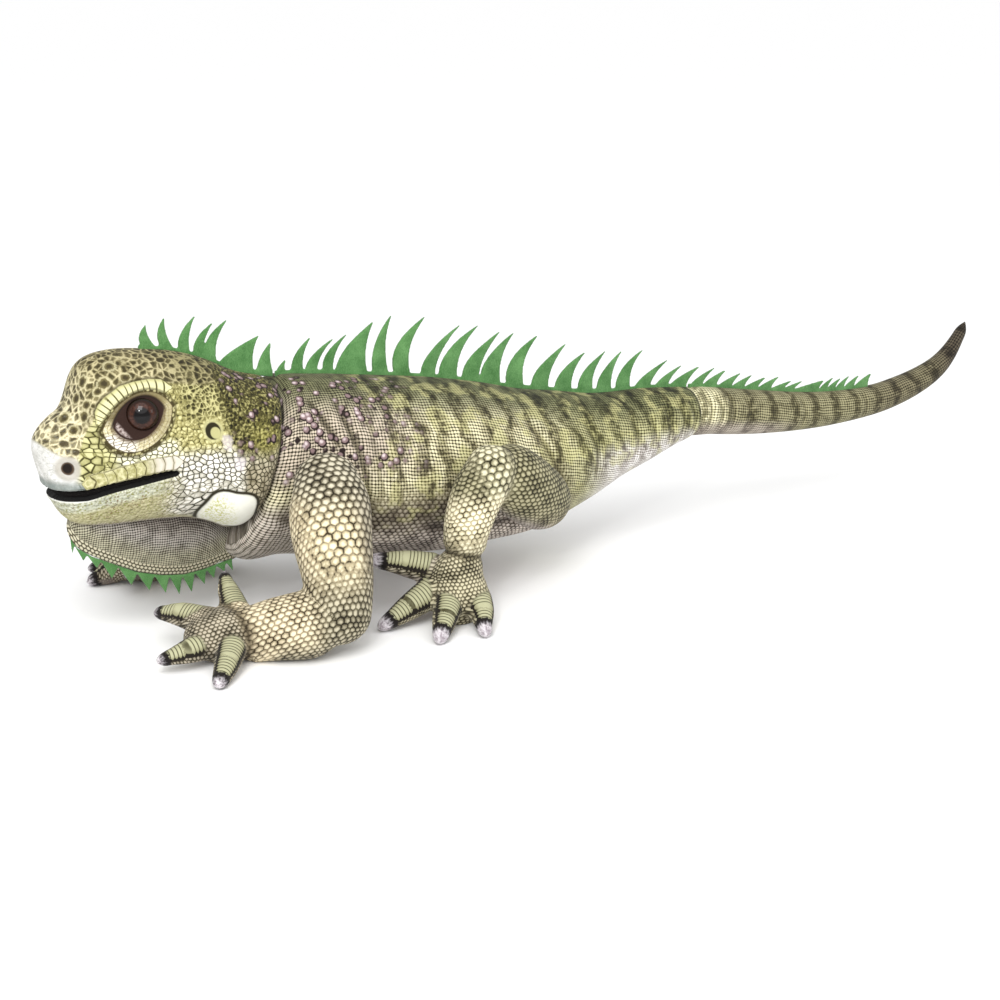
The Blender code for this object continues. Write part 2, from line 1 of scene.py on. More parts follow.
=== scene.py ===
"""Looks of a stuffed toy iguana: printed plush skin, a felt crest and plastic eyes.

Every piece is laid out in the toy's own measure, in millimetres: x runs from nose to tail, y is
the distance from the middle plane (negative on the toy's left) and z is the height over the floor.
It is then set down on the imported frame.
"""

import json
import logging
import math
from dataclasses import dataclass
from enum import Enum
from typing import Callable, Iterator, Sequence, Union

import bmesh
import bpy
import numpy as np
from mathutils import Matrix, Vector

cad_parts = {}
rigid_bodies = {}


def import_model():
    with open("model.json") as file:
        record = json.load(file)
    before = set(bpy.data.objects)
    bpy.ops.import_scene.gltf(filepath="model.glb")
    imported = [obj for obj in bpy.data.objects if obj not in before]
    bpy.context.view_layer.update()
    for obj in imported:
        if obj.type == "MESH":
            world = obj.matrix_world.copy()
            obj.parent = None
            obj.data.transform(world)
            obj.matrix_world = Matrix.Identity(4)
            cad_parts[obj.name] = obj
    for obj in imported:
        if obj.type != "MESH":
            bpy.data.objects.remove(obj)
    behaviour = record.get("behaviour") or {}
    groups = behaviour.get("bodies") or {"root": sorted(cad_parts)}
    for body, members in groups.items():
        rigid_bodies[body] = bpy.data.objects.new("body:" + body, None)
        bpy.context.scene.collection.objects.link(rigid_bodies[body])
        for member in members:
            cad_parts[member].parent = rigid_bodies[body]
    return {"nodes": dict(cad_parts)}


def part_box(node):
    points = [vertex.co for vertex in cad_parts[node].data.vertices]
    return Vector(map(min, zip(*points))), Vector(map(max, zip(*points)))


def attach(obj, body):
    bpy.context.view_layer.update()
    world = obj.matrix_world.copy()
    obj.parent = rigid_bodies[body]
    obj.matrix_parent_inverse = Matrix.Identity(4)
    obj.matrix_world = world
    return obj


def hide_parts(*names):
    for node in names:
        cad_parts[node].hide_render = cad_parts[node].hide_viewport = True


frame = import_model()

LOG = logging.getLogger("iguana")
MM = 0.001
CLOTH_FRAMES = 16          # how long each skin's stuffing settles
END_ROWS = 5               # how many rows of cloth close the end of a tube
NOSE_X = -397.5            # the nose's tip in the toy's own measure
Row = tuple[float, ...]
Spot = tuple[float, float]     # (x, z) on the toy's side
Line = tuple[Spot, ...]
Points = np.ndarray


# ---------------------------------------------------------------- the bench: shaping meshes


def own_measure() -> Vector:
    """Where the toy's own measure begins in the frame, in metres, from its nose and its tail."""
    low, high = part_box("tail_tip")
    return Vector((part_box("head")[0].x - NOSE_X * MM, (low.y + high.y) / 2, 0.0))


SHIFT = own_measure()


def clear_selection() -> None:
    """Lets go of every object, the frame's nodes among them."""
    for thing in bpy.context.view_layer.objects:
        thing.select_set(False)
    bpy.context.view_layer.objects.active = None


def pick(piece: bpy.types.Object) -> None:
    """Makes one piece the only one in hand."""
    clear_selection()
    piece.select_set(True)
    bpy.context.view_layer.objects.active = piece


def rows_of(things: bpy.types.bpy_prop_collection, key: str) -> Points:
    """One property of a mesh's vertices or normals, as an array of rows."""
    flat = np.empty(len(things) * 3, np.float32)
    things.foreach_get(key, flat)
    return flat.reshape(-1, 3).astype(float)


def corners(piece: bpy.types.Object) -> Points:
    """The places of a piece's vertices."""
    return rows_of(piece.data.vertices, "co")


def fresh(name: str, add: Callable[..., object], **settings: object) -> bpy.types.Object:
    """Adds a ready-made mesh and takes its own map off.

    Args:
        name: The piece's name.
        add: What adds the mesh.
        settings: The mesh's sizes.

    Returns:
        The piece.
    """
    clear_selection()
    add(**settings)
    piece = bpy.context.object
    piece.name = name
    piece.data.name = name
    for layer in list(piece.data.uv_layers):
        piece.data.uv_layers.remove(layer)
    return piece


def move_corners(piece: bpy.types.Object, points: Points) -> None:
    """Sets the piece's vertices down at new places."""
    piece.data.vertices.foreach_set("co", points.astype(np.float32).ravel())
    piece.data.update()


def placed(piece: bpy.types.Object) -> Points:
    """Where a piece's vertices are, in millimetres of the toy's own measure."""
    return (corners(piece) - np.array(SHIFT)) / MM


def set_down(piece: bpy.types.Object, points: Points) -> None:
    """Sets the piece's vertices down at places in the toy's own measure."""
    move_corners(piece, points * MM + np.array(SHIFT))


def push_out(piece: bpy.types.Object, push: Points) -> None:
    """Moves each vertex outwards by its own number of millimetres."""
    out = rows_of(piece.data.vertex_normals, "vector")
    set_down(piece, placed(piece) + out * push[:, None])


def edit(piece: bpy.types.Object, step: Callable[..., object], **settings: object) -> None:
    """Takes one step in edit mode, on all of a piece."""
    pick(piece)
    bpy.ops.object.mode_set(mode="EDIT")
    bpy.ops.mesh.select_all(action="SELECT")
    step(**settings)
    bpy.ops.object.mode_set(mode="OBJECT")


def face_out(piece: bpy.types.Object) -> None:
    """Turns every face of a closed piece outwards."""
    edit(piece, bpy.ops.mesh.normals_make_consistent, inside=False)


def finish_modifier(piece: bpy.types.Object, kind: str, **settings: object) -> None:
    """Adds a modifier and applies it.

    Args:
        piece: What it works on.
        kind: The modifier's type.
        settings: Its properties.
    """
    pick(piece)
    made = piece.modifiers.new(kind.lower(), kind)
    for key, value in settings.items():
        setattr(made, key, value)
    bpy.ops.object.modifier_apply(modifier=made.name)


def subdivide(piece: bpy.types.Object, levels: int) -> None:
    """Rounds a piece off with finer faces."""
    finish_modifier(piece, "SUBSURF", levels=levels, render_levels=levels)


def felt_together(piece: bpy.types.Object, voxel: float, rounds: int) -> None:
    """Melts joined tubes into one closed skin and eases the creases between them.

    Args:
        piece: The joined tubes.
        voxel: How fine the new skin is, in millimetres.
        rounds: How often it is smoothed.
    """
    finish_modifier(piece, "REMESH", mode="VOXEL", voxel_size=voxel * MM)
    finish_modifier(piece, "SMOOTH", factor=0.5, iterations=rounds)


def drop_crumbs(piece: bpy.types.Object, least: int = 100) -> None:
    """Takes off the crumbs that melting leaves past the thinnest tips.

    Args:
        piece: The skin or strip.
        least: How many vertices a shell has to have to stay.
    """
    shells = bmesh.new()
    shells.from_mesh(piece.data)
    seen: set[int] = set()
    crumbs: list[bmesh.types.BMVert] = []
    for start in shells.verts:
        if start.index in seen:
            continue
        seen.add(start.index)
        shell, front = [], [start]
        while front:
            corner = front.pop()
            shell.append(corner)
            for other in (edge.other_vert(corner) for edge in corner.link_edges):
                if other.index not in seen:
                    seen.add(other.index)
                    front.append(other)
        if len(shell) < least:
            crumbs += shell
    bmesh.ops.delete(shells, geom=crumbs, context="VERTS")
    shells.to_mesh(piece.data)
    shells.free()


def fill_out(piece: bpy.types.Object, held: Points, pressure: float, cap: float) -> None:
    """Stuffs a sewn skin: cloth under pressure, held along its seams.

    Args:
        piece: The closed skin.
        held: How firmly each vertex is held, from 0 to 1.
        pressure: The stuffing's push.
        cap: The furthest that a vertex may move, in millimetres.
    """
    group = piece.vertex_groups.new(name="seams")
    for number in np.nonzero(held > 0.01)[0]:
        group.add([int(number)], float(held[number]), "REPLACE")
    before = corners(piece)
    pick(piece)
    cloth = piece.modifiers.new("stuffing", "CLOTH")
    cloth.settings.effector_weights.gravity = 0.0
    cloth.settings.use_pressure = True
    cloth.settings.uniform_pressure_force = pressure
    cloth.settings.mass = 0.3
    cloth.settings.quality = 4
    cloth.settings.tension_stiffness = 20
    cloth.settings.compression_stiffness = 20
    cloth.settings.vertex_group_mass = group.name
    cloth.collision_settings.use_collision = False
    cloth.point_cache.frame_start = 1
    cloth.point_cache.frame_end = CLOTH_FRAMES
    for number in range(1, CLOTH_FRAMES + 1):
        bpy.context.scene.frame_set(number)
    bpy.ops.object.modifier_apply(modifier=cloth.name)
    bpy.context.scene.frame_set(1)
    piece.vertex_groups.clear()
    step = corners(piece) - before
    length = np.linalg.norm(step, axis=1)
    limit = cap * MM
    eased = limit * np.tanh(length / limit)
    step *= (eased / np.maximum(length, 1e-9))[:, None]
    move_corners(piece, before + step)


def through(table: Points, at: Points) -> Points:
    """Values on a smooth curve through the rows of a table.

    Args:
        table: One row for each station.
        at: Places along it, counted in stations.

    Returns:
        A row for each place.
    """
    last = len(table) - 1
    at = np.clip(at, 0.0, last)
    first = np.minimum(at.astype(int), last - 1)
    share = (at - first)[:, None]
    before, start, end, after = (
        table[np.clip(first + step, 0, last)] for step in (-1, 0, 1, 2)
    )
    return 0.5 * (
        2 * start
        + (end - before) * share
        + (2 * before - 5 * start + 4 * end - after) * share**2
        + (3 * start - before - 3 * end + after) * share**3
    )


def fall(distance: Points, reach: float) -> Points:
    """A soft hill: 1 at no distance, falling to nothing past its reach."""
    return np.exp(-((distance / reach) ** 2))


def stretches(points: Points, line: Points) -> Iterator[tuple[Points, Points, Points]]:
    """Measures places from each stretch of a line.

    Args:
        points: The places.
        line: The line's own points.

    Yields:
        How far along the stretch each place lies, from 0 to 1, the way from the stretch to it and
        its distance.
    """
    for a, b in zip(line, line[1:]):
        share = np.clip(((points - a) @ (b - a)) / ((b - a) @ (b - a)), 0, 1)
        spoke = points - a - share[:, None] * (b - a)
        yield share, spoke, np.linalg.norm(spoke, axis=1)


def nearest(gaps: Sequence[Points], *columns: Sequence[Points]) -> list[Points]:
    """Keeps, of several measurements of the same places, the nearest one for each place.

    Args:
        gaps: How far the places lie from each thing that they are measured from.
        columns: Whatever else was measured from each of those things.

    Returns:
        The least gap for each place, and what was measured along with it.
    """
    first = np.argmin(gaps, axis=0)
    return [np.array(column)[first, np.arange(len(first))] for column in (gaps, *columns)]


def near_line(flat: Points, line: Sequence[Spot]) -> list[Points]:
    """How far places lie from a line drawn on the toy's side.

    Args:
        flat: (x, z) of each place.
        line: The line's own points.

    Returns:
        The distance from it, and how far along it the nearest place is, from 0 to 1.
    """
    rows = [(gap, (number + share) / (len(line) - 1))
            for number, (share, _, gap) in enumerate(stretches(flat, np.array(line, float)))]
    return nearest(*zip(*rows))


def add_map(piece: bpy.types.Object, places: Points) -> None:
    """Lays the print's map on a piece: (u, v) of each vertex, in millimetres of cloth."""
    mesh = piece.data
    layer = mesh.uv_layers.new(name="print")
    loops = np.empty(len(mesh.loops), np.int32)
    mesh.loops.foreach_get("vertex_index", loops)
    layer.data.foreach_set("uv", places[loops].astype(np.float32).ravel())


def add_value(piece: bpy.types.Object, name: str, values: Points) -> None:
    """Marks each vertex of a piece with a number that its finish reads."""
    layer = piece.data.attributes.new(name, "FLOAT", "POINT")
    layer.data.foreach_set("value", values.astype(np.float32))


def dress(piece: bpy.types.Object, finish: bpy.types.Material) -> None:
    """Gives a piece its finish and smooth shading."""
    piece.data.materials.clear()
    piece.data.materials.append(finish)
    pick(piece)
    bpy.ops.object.shade_smooth()


def hand_in(piece: bpy.types.Object, nodes: Sequence[str]) -> None:
    """Places a finished piece on the frame.

    Args:
        piece: The piece.
        nodes: The solids that it stands for.
    """
    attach(piece, "root")
    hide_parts(*nodes)
    LOG.info("%s: %d faces", piece.name, len(piece.data.polygons))


def ball_of_cloth(name: str, sides: int, rings: int) -> tuple[bpy.types.Object, Points, Points]:
    """A closed ball whose rings will become the rings of a sewn tube.

    Args:
        name: The piece's name.
        sides: Columns round it.
        rings: Rows from pole to pole.

    Returns:
        The piece, the row of each vertex from 0 to rings, and its angle round the axis.
    """
    piece = fresh(name, bpy.ops.mesh.primitive_uv_sphere_add, segments=sides, ring_count=rings,
                  radius=1.0)
    ball = corners(piece)
    row = np.round(np.arccos(np.clip(ball[:, 2], -1, 1)) / math.pi * rings)
    angle = np.arctan2(ball[:, 1], ball[:, 0])
    return piece, row, angle


# ---------------------------------------------------------------- the body: sections along x


@dataclass
class Run:
    """A sewn tube through cross-sections that are alike on both sides of the middle plane.

    A section is (top x, top z, bottom x, bottom z, half width, widest at). A pole closes an end
    in a point; an end without one is sewn shut flat. A tuck draws an end in, as a seam does.
    """

    sections: Sequence[Row]
    sides: int
    rings: int
    front_pole: Spot | None = None
    back_pole: Spot | None = None
    tuck_front: float = 0.0
    tuck_back: float = 0.0
    tuck_reach: float = 12.0
    keel: float = 1.0

    def table(self) -> Points:
        """The sections as an array, with the poles as sections of no size."""
        rows = [tuple(row) for row in self.sections]
        for pole, place in ((self.front_pole, 0), (self.back_pole, len(rows) + 1)):
            if pole:
                rows.insert(place, (*pole, *pole, 0.0, 0.5))
        return np.array(rows, float)

    def stations(self, table: Points) -> Points:
        """How much cloth lies between the front end and each section, in millimetres."""
        jump = np.diff(table, axis=0)
        steps = (
            np.hypot(jump[:, 0], jump[:, 1])
            + np.hypot(jump[:, 2], jump[:, 3])
            + np.hypot((jump[:, 0] + jump[:, 2]) / 2, jump[:, 4])
        ) / 3
        return np.concatenate([[0.0], np.cumsum(steps)])

    def surface(self, row: Points, angle: Points) -> tuple[Points, Points, Points]:
        """Places on the run's skin.

        Args:
            row: From 0 at the front pole to rings at the back pole.
            angle: 0 at the spine and pi under the belly, negative on the toy's left.

        Returns:
            The places, how far along each lies, and the section's mean radius there.
        """
        table = self.table()
        reach = self.stations(table)
        first = 0 if self.front_pole else END_ROWS
        last = self.rings - (0 if self.back_pole else END_ROWS)
        along = np.clip((row - first) / (last - first), 0, 1) * reach[-1]
        section = through(table, np.interp(along, reach, np.arange(len(reach))))
        shrink = np.ones(len(row))
        if first:
            shrink = np.where(row < first, row / first, shrink)
        if last < self.rings:
            shrink = np.where(row > last, (self.rings - row) / END_ROWS, shrink)
        shrink *= 1 - self.tuck_front * np.clip(1 - along / self.tuck_reach, 0, 1) ** 2
        shrink *= 1 - self.tuck_back * np.clip(1 - (reach[-1] - along) / self.tuck_reach, 0, 1) ** 2
        top, bottom = section[:, 0:2], section[:, 2:4]
        middle = bottom + (top - bottom) * section[:, 5:6]
        lift = np.cos(angle)[:, None]
        arm = np.where(lift > 0, top - middle, middle - bottom)
        flat = middle + arm * lift * shrink[:, None]
        half = np.maximum(section[:, 4], 0) * shrink
        height = (np.cos(angle) + 1) / 2
        half *= self.keel + (1 - self.keel) * np.minimum(1, 1.5 * height)
        points = np.column_stack([flat[:, 0], half * np.sin(angle), flat[:, 1]])
        tall = np.linalg.norm(top - bottom, axis=1) / 2
        return points, along, np.sqrt((tall**2 + section[:, 4] ** 2) / 2)

    def sew(self, name: str) -> tuple[bpy.types.Object, Points]:
        """Makes the tube, with its print's map: u runs along it and v down from the spine.

        Args:
            name: The piece's name.

        Returns:
            The piece, and how firmly its sewn ends hold each vertex.
        """
        piece, row, angle = ball_of_cloth(name, self.sides, self.rings)
        points, along, radius = self.surface(row, angle)
        set_down(piece, points)
        face_out(piece)
        add_map(piece, np.column_stack([along, np.abs(angle) * radius]))
        to_end = np.minimum(along, along.max() - along)
        return piece, np.clip(1.4 - to_end / 10, 0, 1)


HEAD_SECTIONS = (
    (-395.5, 167.0, -396.0, 150.0, 11.0, 0.50),
    (-390.5, 174.5, -390.5, 129.0, 20.0, 0.52),
    (-382.5, 181.5, -382.5, 110.0, 27.5, 0.50),
    (-373.5, 188.0, -373.5, 100.5, 32.5, 0.46),
    (-367.5, 200.0, -364.0, 97.0, 36.5, 0.44),
    (-361.5, 215.0, -352.0, 95.0, 40.5, 0.48),
    (-351.0, 222.5, -338.0, 94.0, 45.0, 0.50),
    (-333.0, 225.0, -321.0, 93.5, 48.5, 0.50),
    (-312.0, 223.5, -304.0, 93.0, 50.5, 0.46),
    (-289.0, 220.0, -289.0, 92.0, 54.0, 0.40),
    (-265.0, 212.0, -274.0, 88.0, 58.5, 0.36),
    (-236.0, 198.0, -262.0, 82.0, 61.0, 0.38),
    (-206.0, 192.5, -251.0, 76.0, 58.5, 0.42),
)
NECK_SECTIONS = (
    (-206.0, 192.5, -258.6, 57.0, 57.5, 0.50),
    (-201.0, 192.0, -241.0, 49.0, 59.5, 0.52),
    (-194.0, 192.0, -217.0, 50.0, 60.0, 0.52),
)
TRUNK_SECTIONS = (
    (-185.0, 191.5, -196.0, 47.5, 63.0, 0.50),
    (-163.0, 189.0, -168.0, 43.5, 68.0, 0.48),
    (-138.0, 185.0, -140.0, 38.0, 71.0, 0.46),
    (-100.0, 180.0, -100.0, 33.0, 73.0, 0.45),
    (-50.0, 172.0, -50.0, 30.5, 72.0, 0.45),
    (-5.0, 161.0, -5.0, 31.5, 66.5, 0.46),
    (35.0, 153.0, 35.0, 37.0, 59.0, 0.48),
    (75.0, 146.0, 75.0, 49.5, 49.0, 0.50),
    (115.0, 141.5, 115.0, 65.0, 39.0, 0.50),
    (155.0, 140.0, 155.0, 78.0, 31.5, 0.50),
    (185.0, 138.0, 185.0, 87.0, 26.0, 0.50),
    (198.0, 136.3, 198.0, 90.5, 23.5, 0.50),
)
BODY_SECTIONS = NECK_SECTIONS + TRUNK_SECTIONS
TAIL_LINE = (
    (198.0, 113.4, 22.9), (220.0, 111.4, 21.8), (250.0, 106.9, 21.3), (280.0, 102.8, 20.6),
    (320.0, 98.3, 18.8), (360.0, 95.7, 17.0), (400.0, 95.6, 15.3), (430.0, 97.4, 14.2),
    (452.0, 101.0, 13.6), (474.0, 106.2, 12.7), (496.0, 113.6, 11.4), (513.0, 122.5, 9.8),
    (525.5, 133.5, 8.0), (534.5, 144.8, 6.4), (541.0, 154.5, 5.0),
)
TAIL_TIP = (545.3, 162.0)
NOSE_TIP = (-397.5, 159.0)
DEWLAP_SECTIONS = (
    (-376.0, 90.0, 97.0, 4.0), (-370.0, 79.5, 96.0, 7.5), (-359.0, 71.0, 95.0, 11.5),
    (-343.0, 62.5, 94.0, 15.0), (-325.0, 53.0, 93.0, 17.0), (-305.0, 47.0, 92.0, 18.0),
    (-287.0, 44.5, 91.0, 17.0), (-270.0, 46.0, 86.0, 13.5), (-256.0, 49.0, 76.0, 8.0),
    (-246.0, 50.5, 66.0, 4.5),
)

HEAD_BLADES = (
    (-312, 11, -6.5, 19), (-297, 10, -5.5, 26), (-283, 9, 6.5, 29), (-271, 8, 9.5, 27),
    (-262, 9, 10.5, 33), (-250, 27, 5.5, 28), (-220, 13, -0.5, 25),
)
BACK_BLADES = (
    (-203.5, 7, 1, 11), (-191, 10, 7.5, 28), (-179, 10, 16.5, 26), (-164, 9, 13.5, 30),
    (-153, 28, 6.5, 42), (-120, 14, 4.5, 48), (-101, 15, 14.5, 48), (-76, 13, 25.5, 41),
    (-59, 17, 20.5, 43), (-37, 16, 21.5, 41), (-19, 19, 14.5, 43), (6, 17, 14.5, 44),
    (31, 17, 18.5, 38), (55, 17, 14.5, 33), (79, 15, 12.5, 34), (99, 15, 11.5, 34),
    (119, 15, 13.5, 34), (140, 16, 19.5, 23), (163, 13, 16.5, 18), (180, 17, 15.5, 17),
)
TAIL_BLADES = (
    (203, 12, 14, 16), (217, 14, 12, 15), (235, 14, 11, 13), (251, 13, 9, 12),
    (266, 14, 11, 11), (282, 14, 10, 12), (298, 13, 12, 9), (312, 12, 12, 9), (326, 29, 7, 10),
    (357, 9, 7, 12), (367, 9, 7, 11), (378, 9, 6, 12), (389, 11, 6, 12), (402, 16, 4, 12),
)
STRIP_HEIGHT = 4.6
BLADE_BEND = 0.20
FRINGE_STRIP = 1.6
FRINGE_LEAN = 2.0
FRINGE_POINTS = (
    (-374, 75), (-366, 68.5), (-356, 61), (-345, 51), (-330, 43), (-316, 36), (-303, 31.5),
    (-292, 28.5), (-282, 28.5), (-271, 33), (-263, 36.5), (-254, 40.5), (-247, 40),
)
MOUTH_LINE = (
    (-410.0, 125.2, 6.0),
    (-389.0, 126.2, 6.0),
    (-370.0, 128.0, 6.0),
    (-359.5, 130.7, 5.4),
    (-348.0, 133.2, 4.8),
    (-331.0, 136.2, 4.2),
    (-314.0, 138.9, 3.0),
    (-306.0, 139.6, 1.2),
)
EYE_RADIUS = 12.0
EYE_CENTRE = (-329.5, 42.0, 184.0)
EYE_FORWARD = 20.0
EYE_UP = 6.0
LEFT_ARM = (
    (-199, 72, 121, 25), (-204, 87, 108, 30.5), (-208, 98, 88, 30.5), (-211, 111, 58, 26.5),
    (-212, 114, 31, 24.5),
)
LEFT_FOREARM = (
    (-218, 112, 28, 19.0), (-232, 109, 27, 25.5), (-253, 98, 23, 24), (-267, 88, 19, 21.5),
)
LEFT_PALM = (
    (-263, 90, 20, 21.0), (-279, 82, 18.5, 22.5), (-292, 77, 18, 23.0), (-302, 73, 17.5, 18.5),
)
LEFT_FINGERS = (
    ((-275, 68, 29), (-272, 50, 40), (-269.5, 39, 46.5)),
    ((-294, 64, 25), (-308, 46, 28.5), (-317, 34, 28)),
    ((-303, 83, 18), (-321, 85, 15), (-335, 84, 12.5)),
    ((-290, 95, 17), (-302, 113, 11.5), (-313, 127, 6.6)),
)
RIGHT_ARM = (
    (-199, 72, 121, 25), (-202, 87, 108, 30.5), (-203, 99, 88, 30.5), (-204, 114, 58, 27.0),
    (-205, 119, 31, 24.5),
)
RIGHT_FOREARM = (
    (-209, 121, 28, 19.0), (-221, 125, 27, 25.5), (-234, 129, 23, 24), (-247, 131, 19, 21.5),
)
RIGHT_PALM = (
    (-243, 131, 20, 21.0), (-259, 132, 18.5, 22.5), (-272, 132, 18, 23.0), (-283, 132, 17.5, 18.5),
)
RIGHT_FINGERS = (
    ((-267, 115, 26), (-277, 100, 33), (-285, 90, 39)),
    ((-280, 120, 17), (-287, 111, 17), (-294, 102, 18)),
    ((-287, 134, 15), (-300, 135, 10), (-310, 136, 6.6)),
    ((-275, 150, 14), (-289, 159, 9.5), (-300, 164, 7.0)),
)
LEFT_THIGH = (
    (15, 44, 69, 23), (-1, 58, 77, 27.5), (-24, 73, 93, 27.5), (-46, 82, 110, 24), (-57, 86, 117, 14),
)
LEFT_SHIN = ((-62, 87, 117, 20.5), (-78, 92, 99, 20.5), (-89, 95, 78, 19.5), (-93, 95, 54, 15.8))
LEFT_FOOT = ((-94, 95, 52, 15.8), (-98, 95, 36, 21.0), (-98, 95, 22, 23), (-99, 93, 10, 19.0))
LEFT_TOES = (
    ((-111, 74, 39), (-128, 65, 43), (-145, 57, 46)),
    ((-116, 86, 24), (-138, 88, 16), (-157, 89, 8.0)),
    ((-110, 102, 21), (-124, 119, 13), (-135, 132, 7.4)),
    ((-90, 107, 20), (-94, 123, 13), (-100, 137, 7.4)),
)
RIGHT_THIGH = (
    (22, 44, 69, 23), (8, 58, 77, 27.5), (-10, 74, 91, 27.5), (-27, 85, 106, 24), (-36, 91, 112, 14),
)
RIGHT_SHIN = ((-38, 92, 112, 20.5), (-46, 98, 96, 20.5), (-51, 102, 77, 19.5), (-54, 104, 54, 15.8))
RIGHT_FOOT = (
    (-55, 104, 52, 15.8), (-58, 104, 36, 20.0), (-59, 104, 22, 21.5), (-60, 104, 10, 18.0),
)
RIGHT_TOES = (
    ((-73, 92, 35), (-90, 81, 38), (-104, 73, 39)),
    ((-76, 106, 21), (-97, 110, 13), (-115, 114, 6.8)),
    ((-68, 117, 19), (-80, 133, 12), (-90, 145, 6.8)),
    ((-50, 118, 19), (-51, 134, 12), (-52, 148, 6.8)),
)
FINGER_RADII = (12.4, 9.6, 6.2)
TOE_RADII = (12.8, 10.6, 6.8)
FLAT_PALM = 0.88

def tail_sections() -> list[Row]:
    """The tail's line as cross-sections square to it, as the solids have them."""
    line = [Vector((x, 0, z)) for x, z, _ in TAIL_LINE] + [Vector((TAIL_TIP[0], 0, TAIL_TIP[1]))]
    rows = []
    for i, (_, _, radius) in enumerate(TAIL_LINE):
        ahead = (line[i + 1] - line[max(i - 1, 0)]).normalized() if i else Vector((1, 0, 0))
        up = Vector((-ahead.z, 0, ahead.x)) * radius
        top, bottom = line[i] + up, line[i] - up
        rows.append((top.x, top.z, bottom.x, bottom.z, radius, 0.5))
    return rows


# ---------------------------------------------------------------- the finishes


def reckoning(operation: str, swapped: bool = False) -> Callable[..., "Signal"]:
    """Makes a method that adds one step of arithmetic.

    Args:
        operation: The step's name.
        swapped: Whether the other amount comes first.

    Returns:
        The method.
    """
    def step(self: "Signal", *others: "Amount") -> "Signal":
        """Adds the step to the recipe."""
        amounts = (self, *others)
        return self.recipe.maths(operation, *(amounts[::-1] if swapped else amounts))
    return step


class Signal:
    """A shader socket that can be reckoned with like a number."""

    __add__ = __radd__ = reckoning("ADD")
    __sub__ = reckoning("SUBTRACT")
    __rsub__ = reckoning("SUBTRACT", swapped=True)
    __mul__ = __rmul__ = reckoning("MULTIPLY")
    __truediv__ = reckoning("DIVIDE")
    __abs__ = reckoning("ABSOLUTE")
    root = reckoning("SQRT")
    least = reckoning("MINIMUM")
    most = reckoning("MAXIMUM")
    wrapped = reckoning("FLOORED_MODULO")     # the rest after whole periods, never negative

    def __init__(self, recipe: "Recipe", socket: bpy.types.NodeSocket) -> None:
        """Wraps a socket of a recipe's nodes."""
        self.recipe = recipe
        self.socket = socket

    def rise(self, low: "Amount", high: "Amount") -> "Signal":
        """A soft step from 0 at low to 1 at high."""
        sockets = {"Value": self, "From Min": low, "From Max": high}
        return self.recipe.out("MapRange", {"interpolation_type": "SMOOTHSTEP"}, sockets)

    def drop(self, low: "Amount", high: "Amount") -> "Signal":
        """A soft step from 1 at low to 0 at high."""
        return 1 - self.rise(low, high)


Amount = Union[Signal, float, int]
Colour = tuple[float, float, float]
Dye = Union[Signal, tuple[int, int, int]]
UPTAKE = 0.76              # how much of an ink's light the printed cloth gives back


def ink(red: int, green: int, blue: int) -> Colour:
    """A screen colour as the light that it stands for."""
    shares = (value / 255 for value in (red, green, blue))
    return tuple(v / 12.92 if v <= 0.04045 else ((v + 0.055) / 1.055) ** 2.4 for v in shares)


def dye(red: int, green: int, blue: int) -> Colour:
    """A screen colour as the cloth takes it up from the print."""
    return tuple(UPTAKE * share for share in ink(red, green, blue))


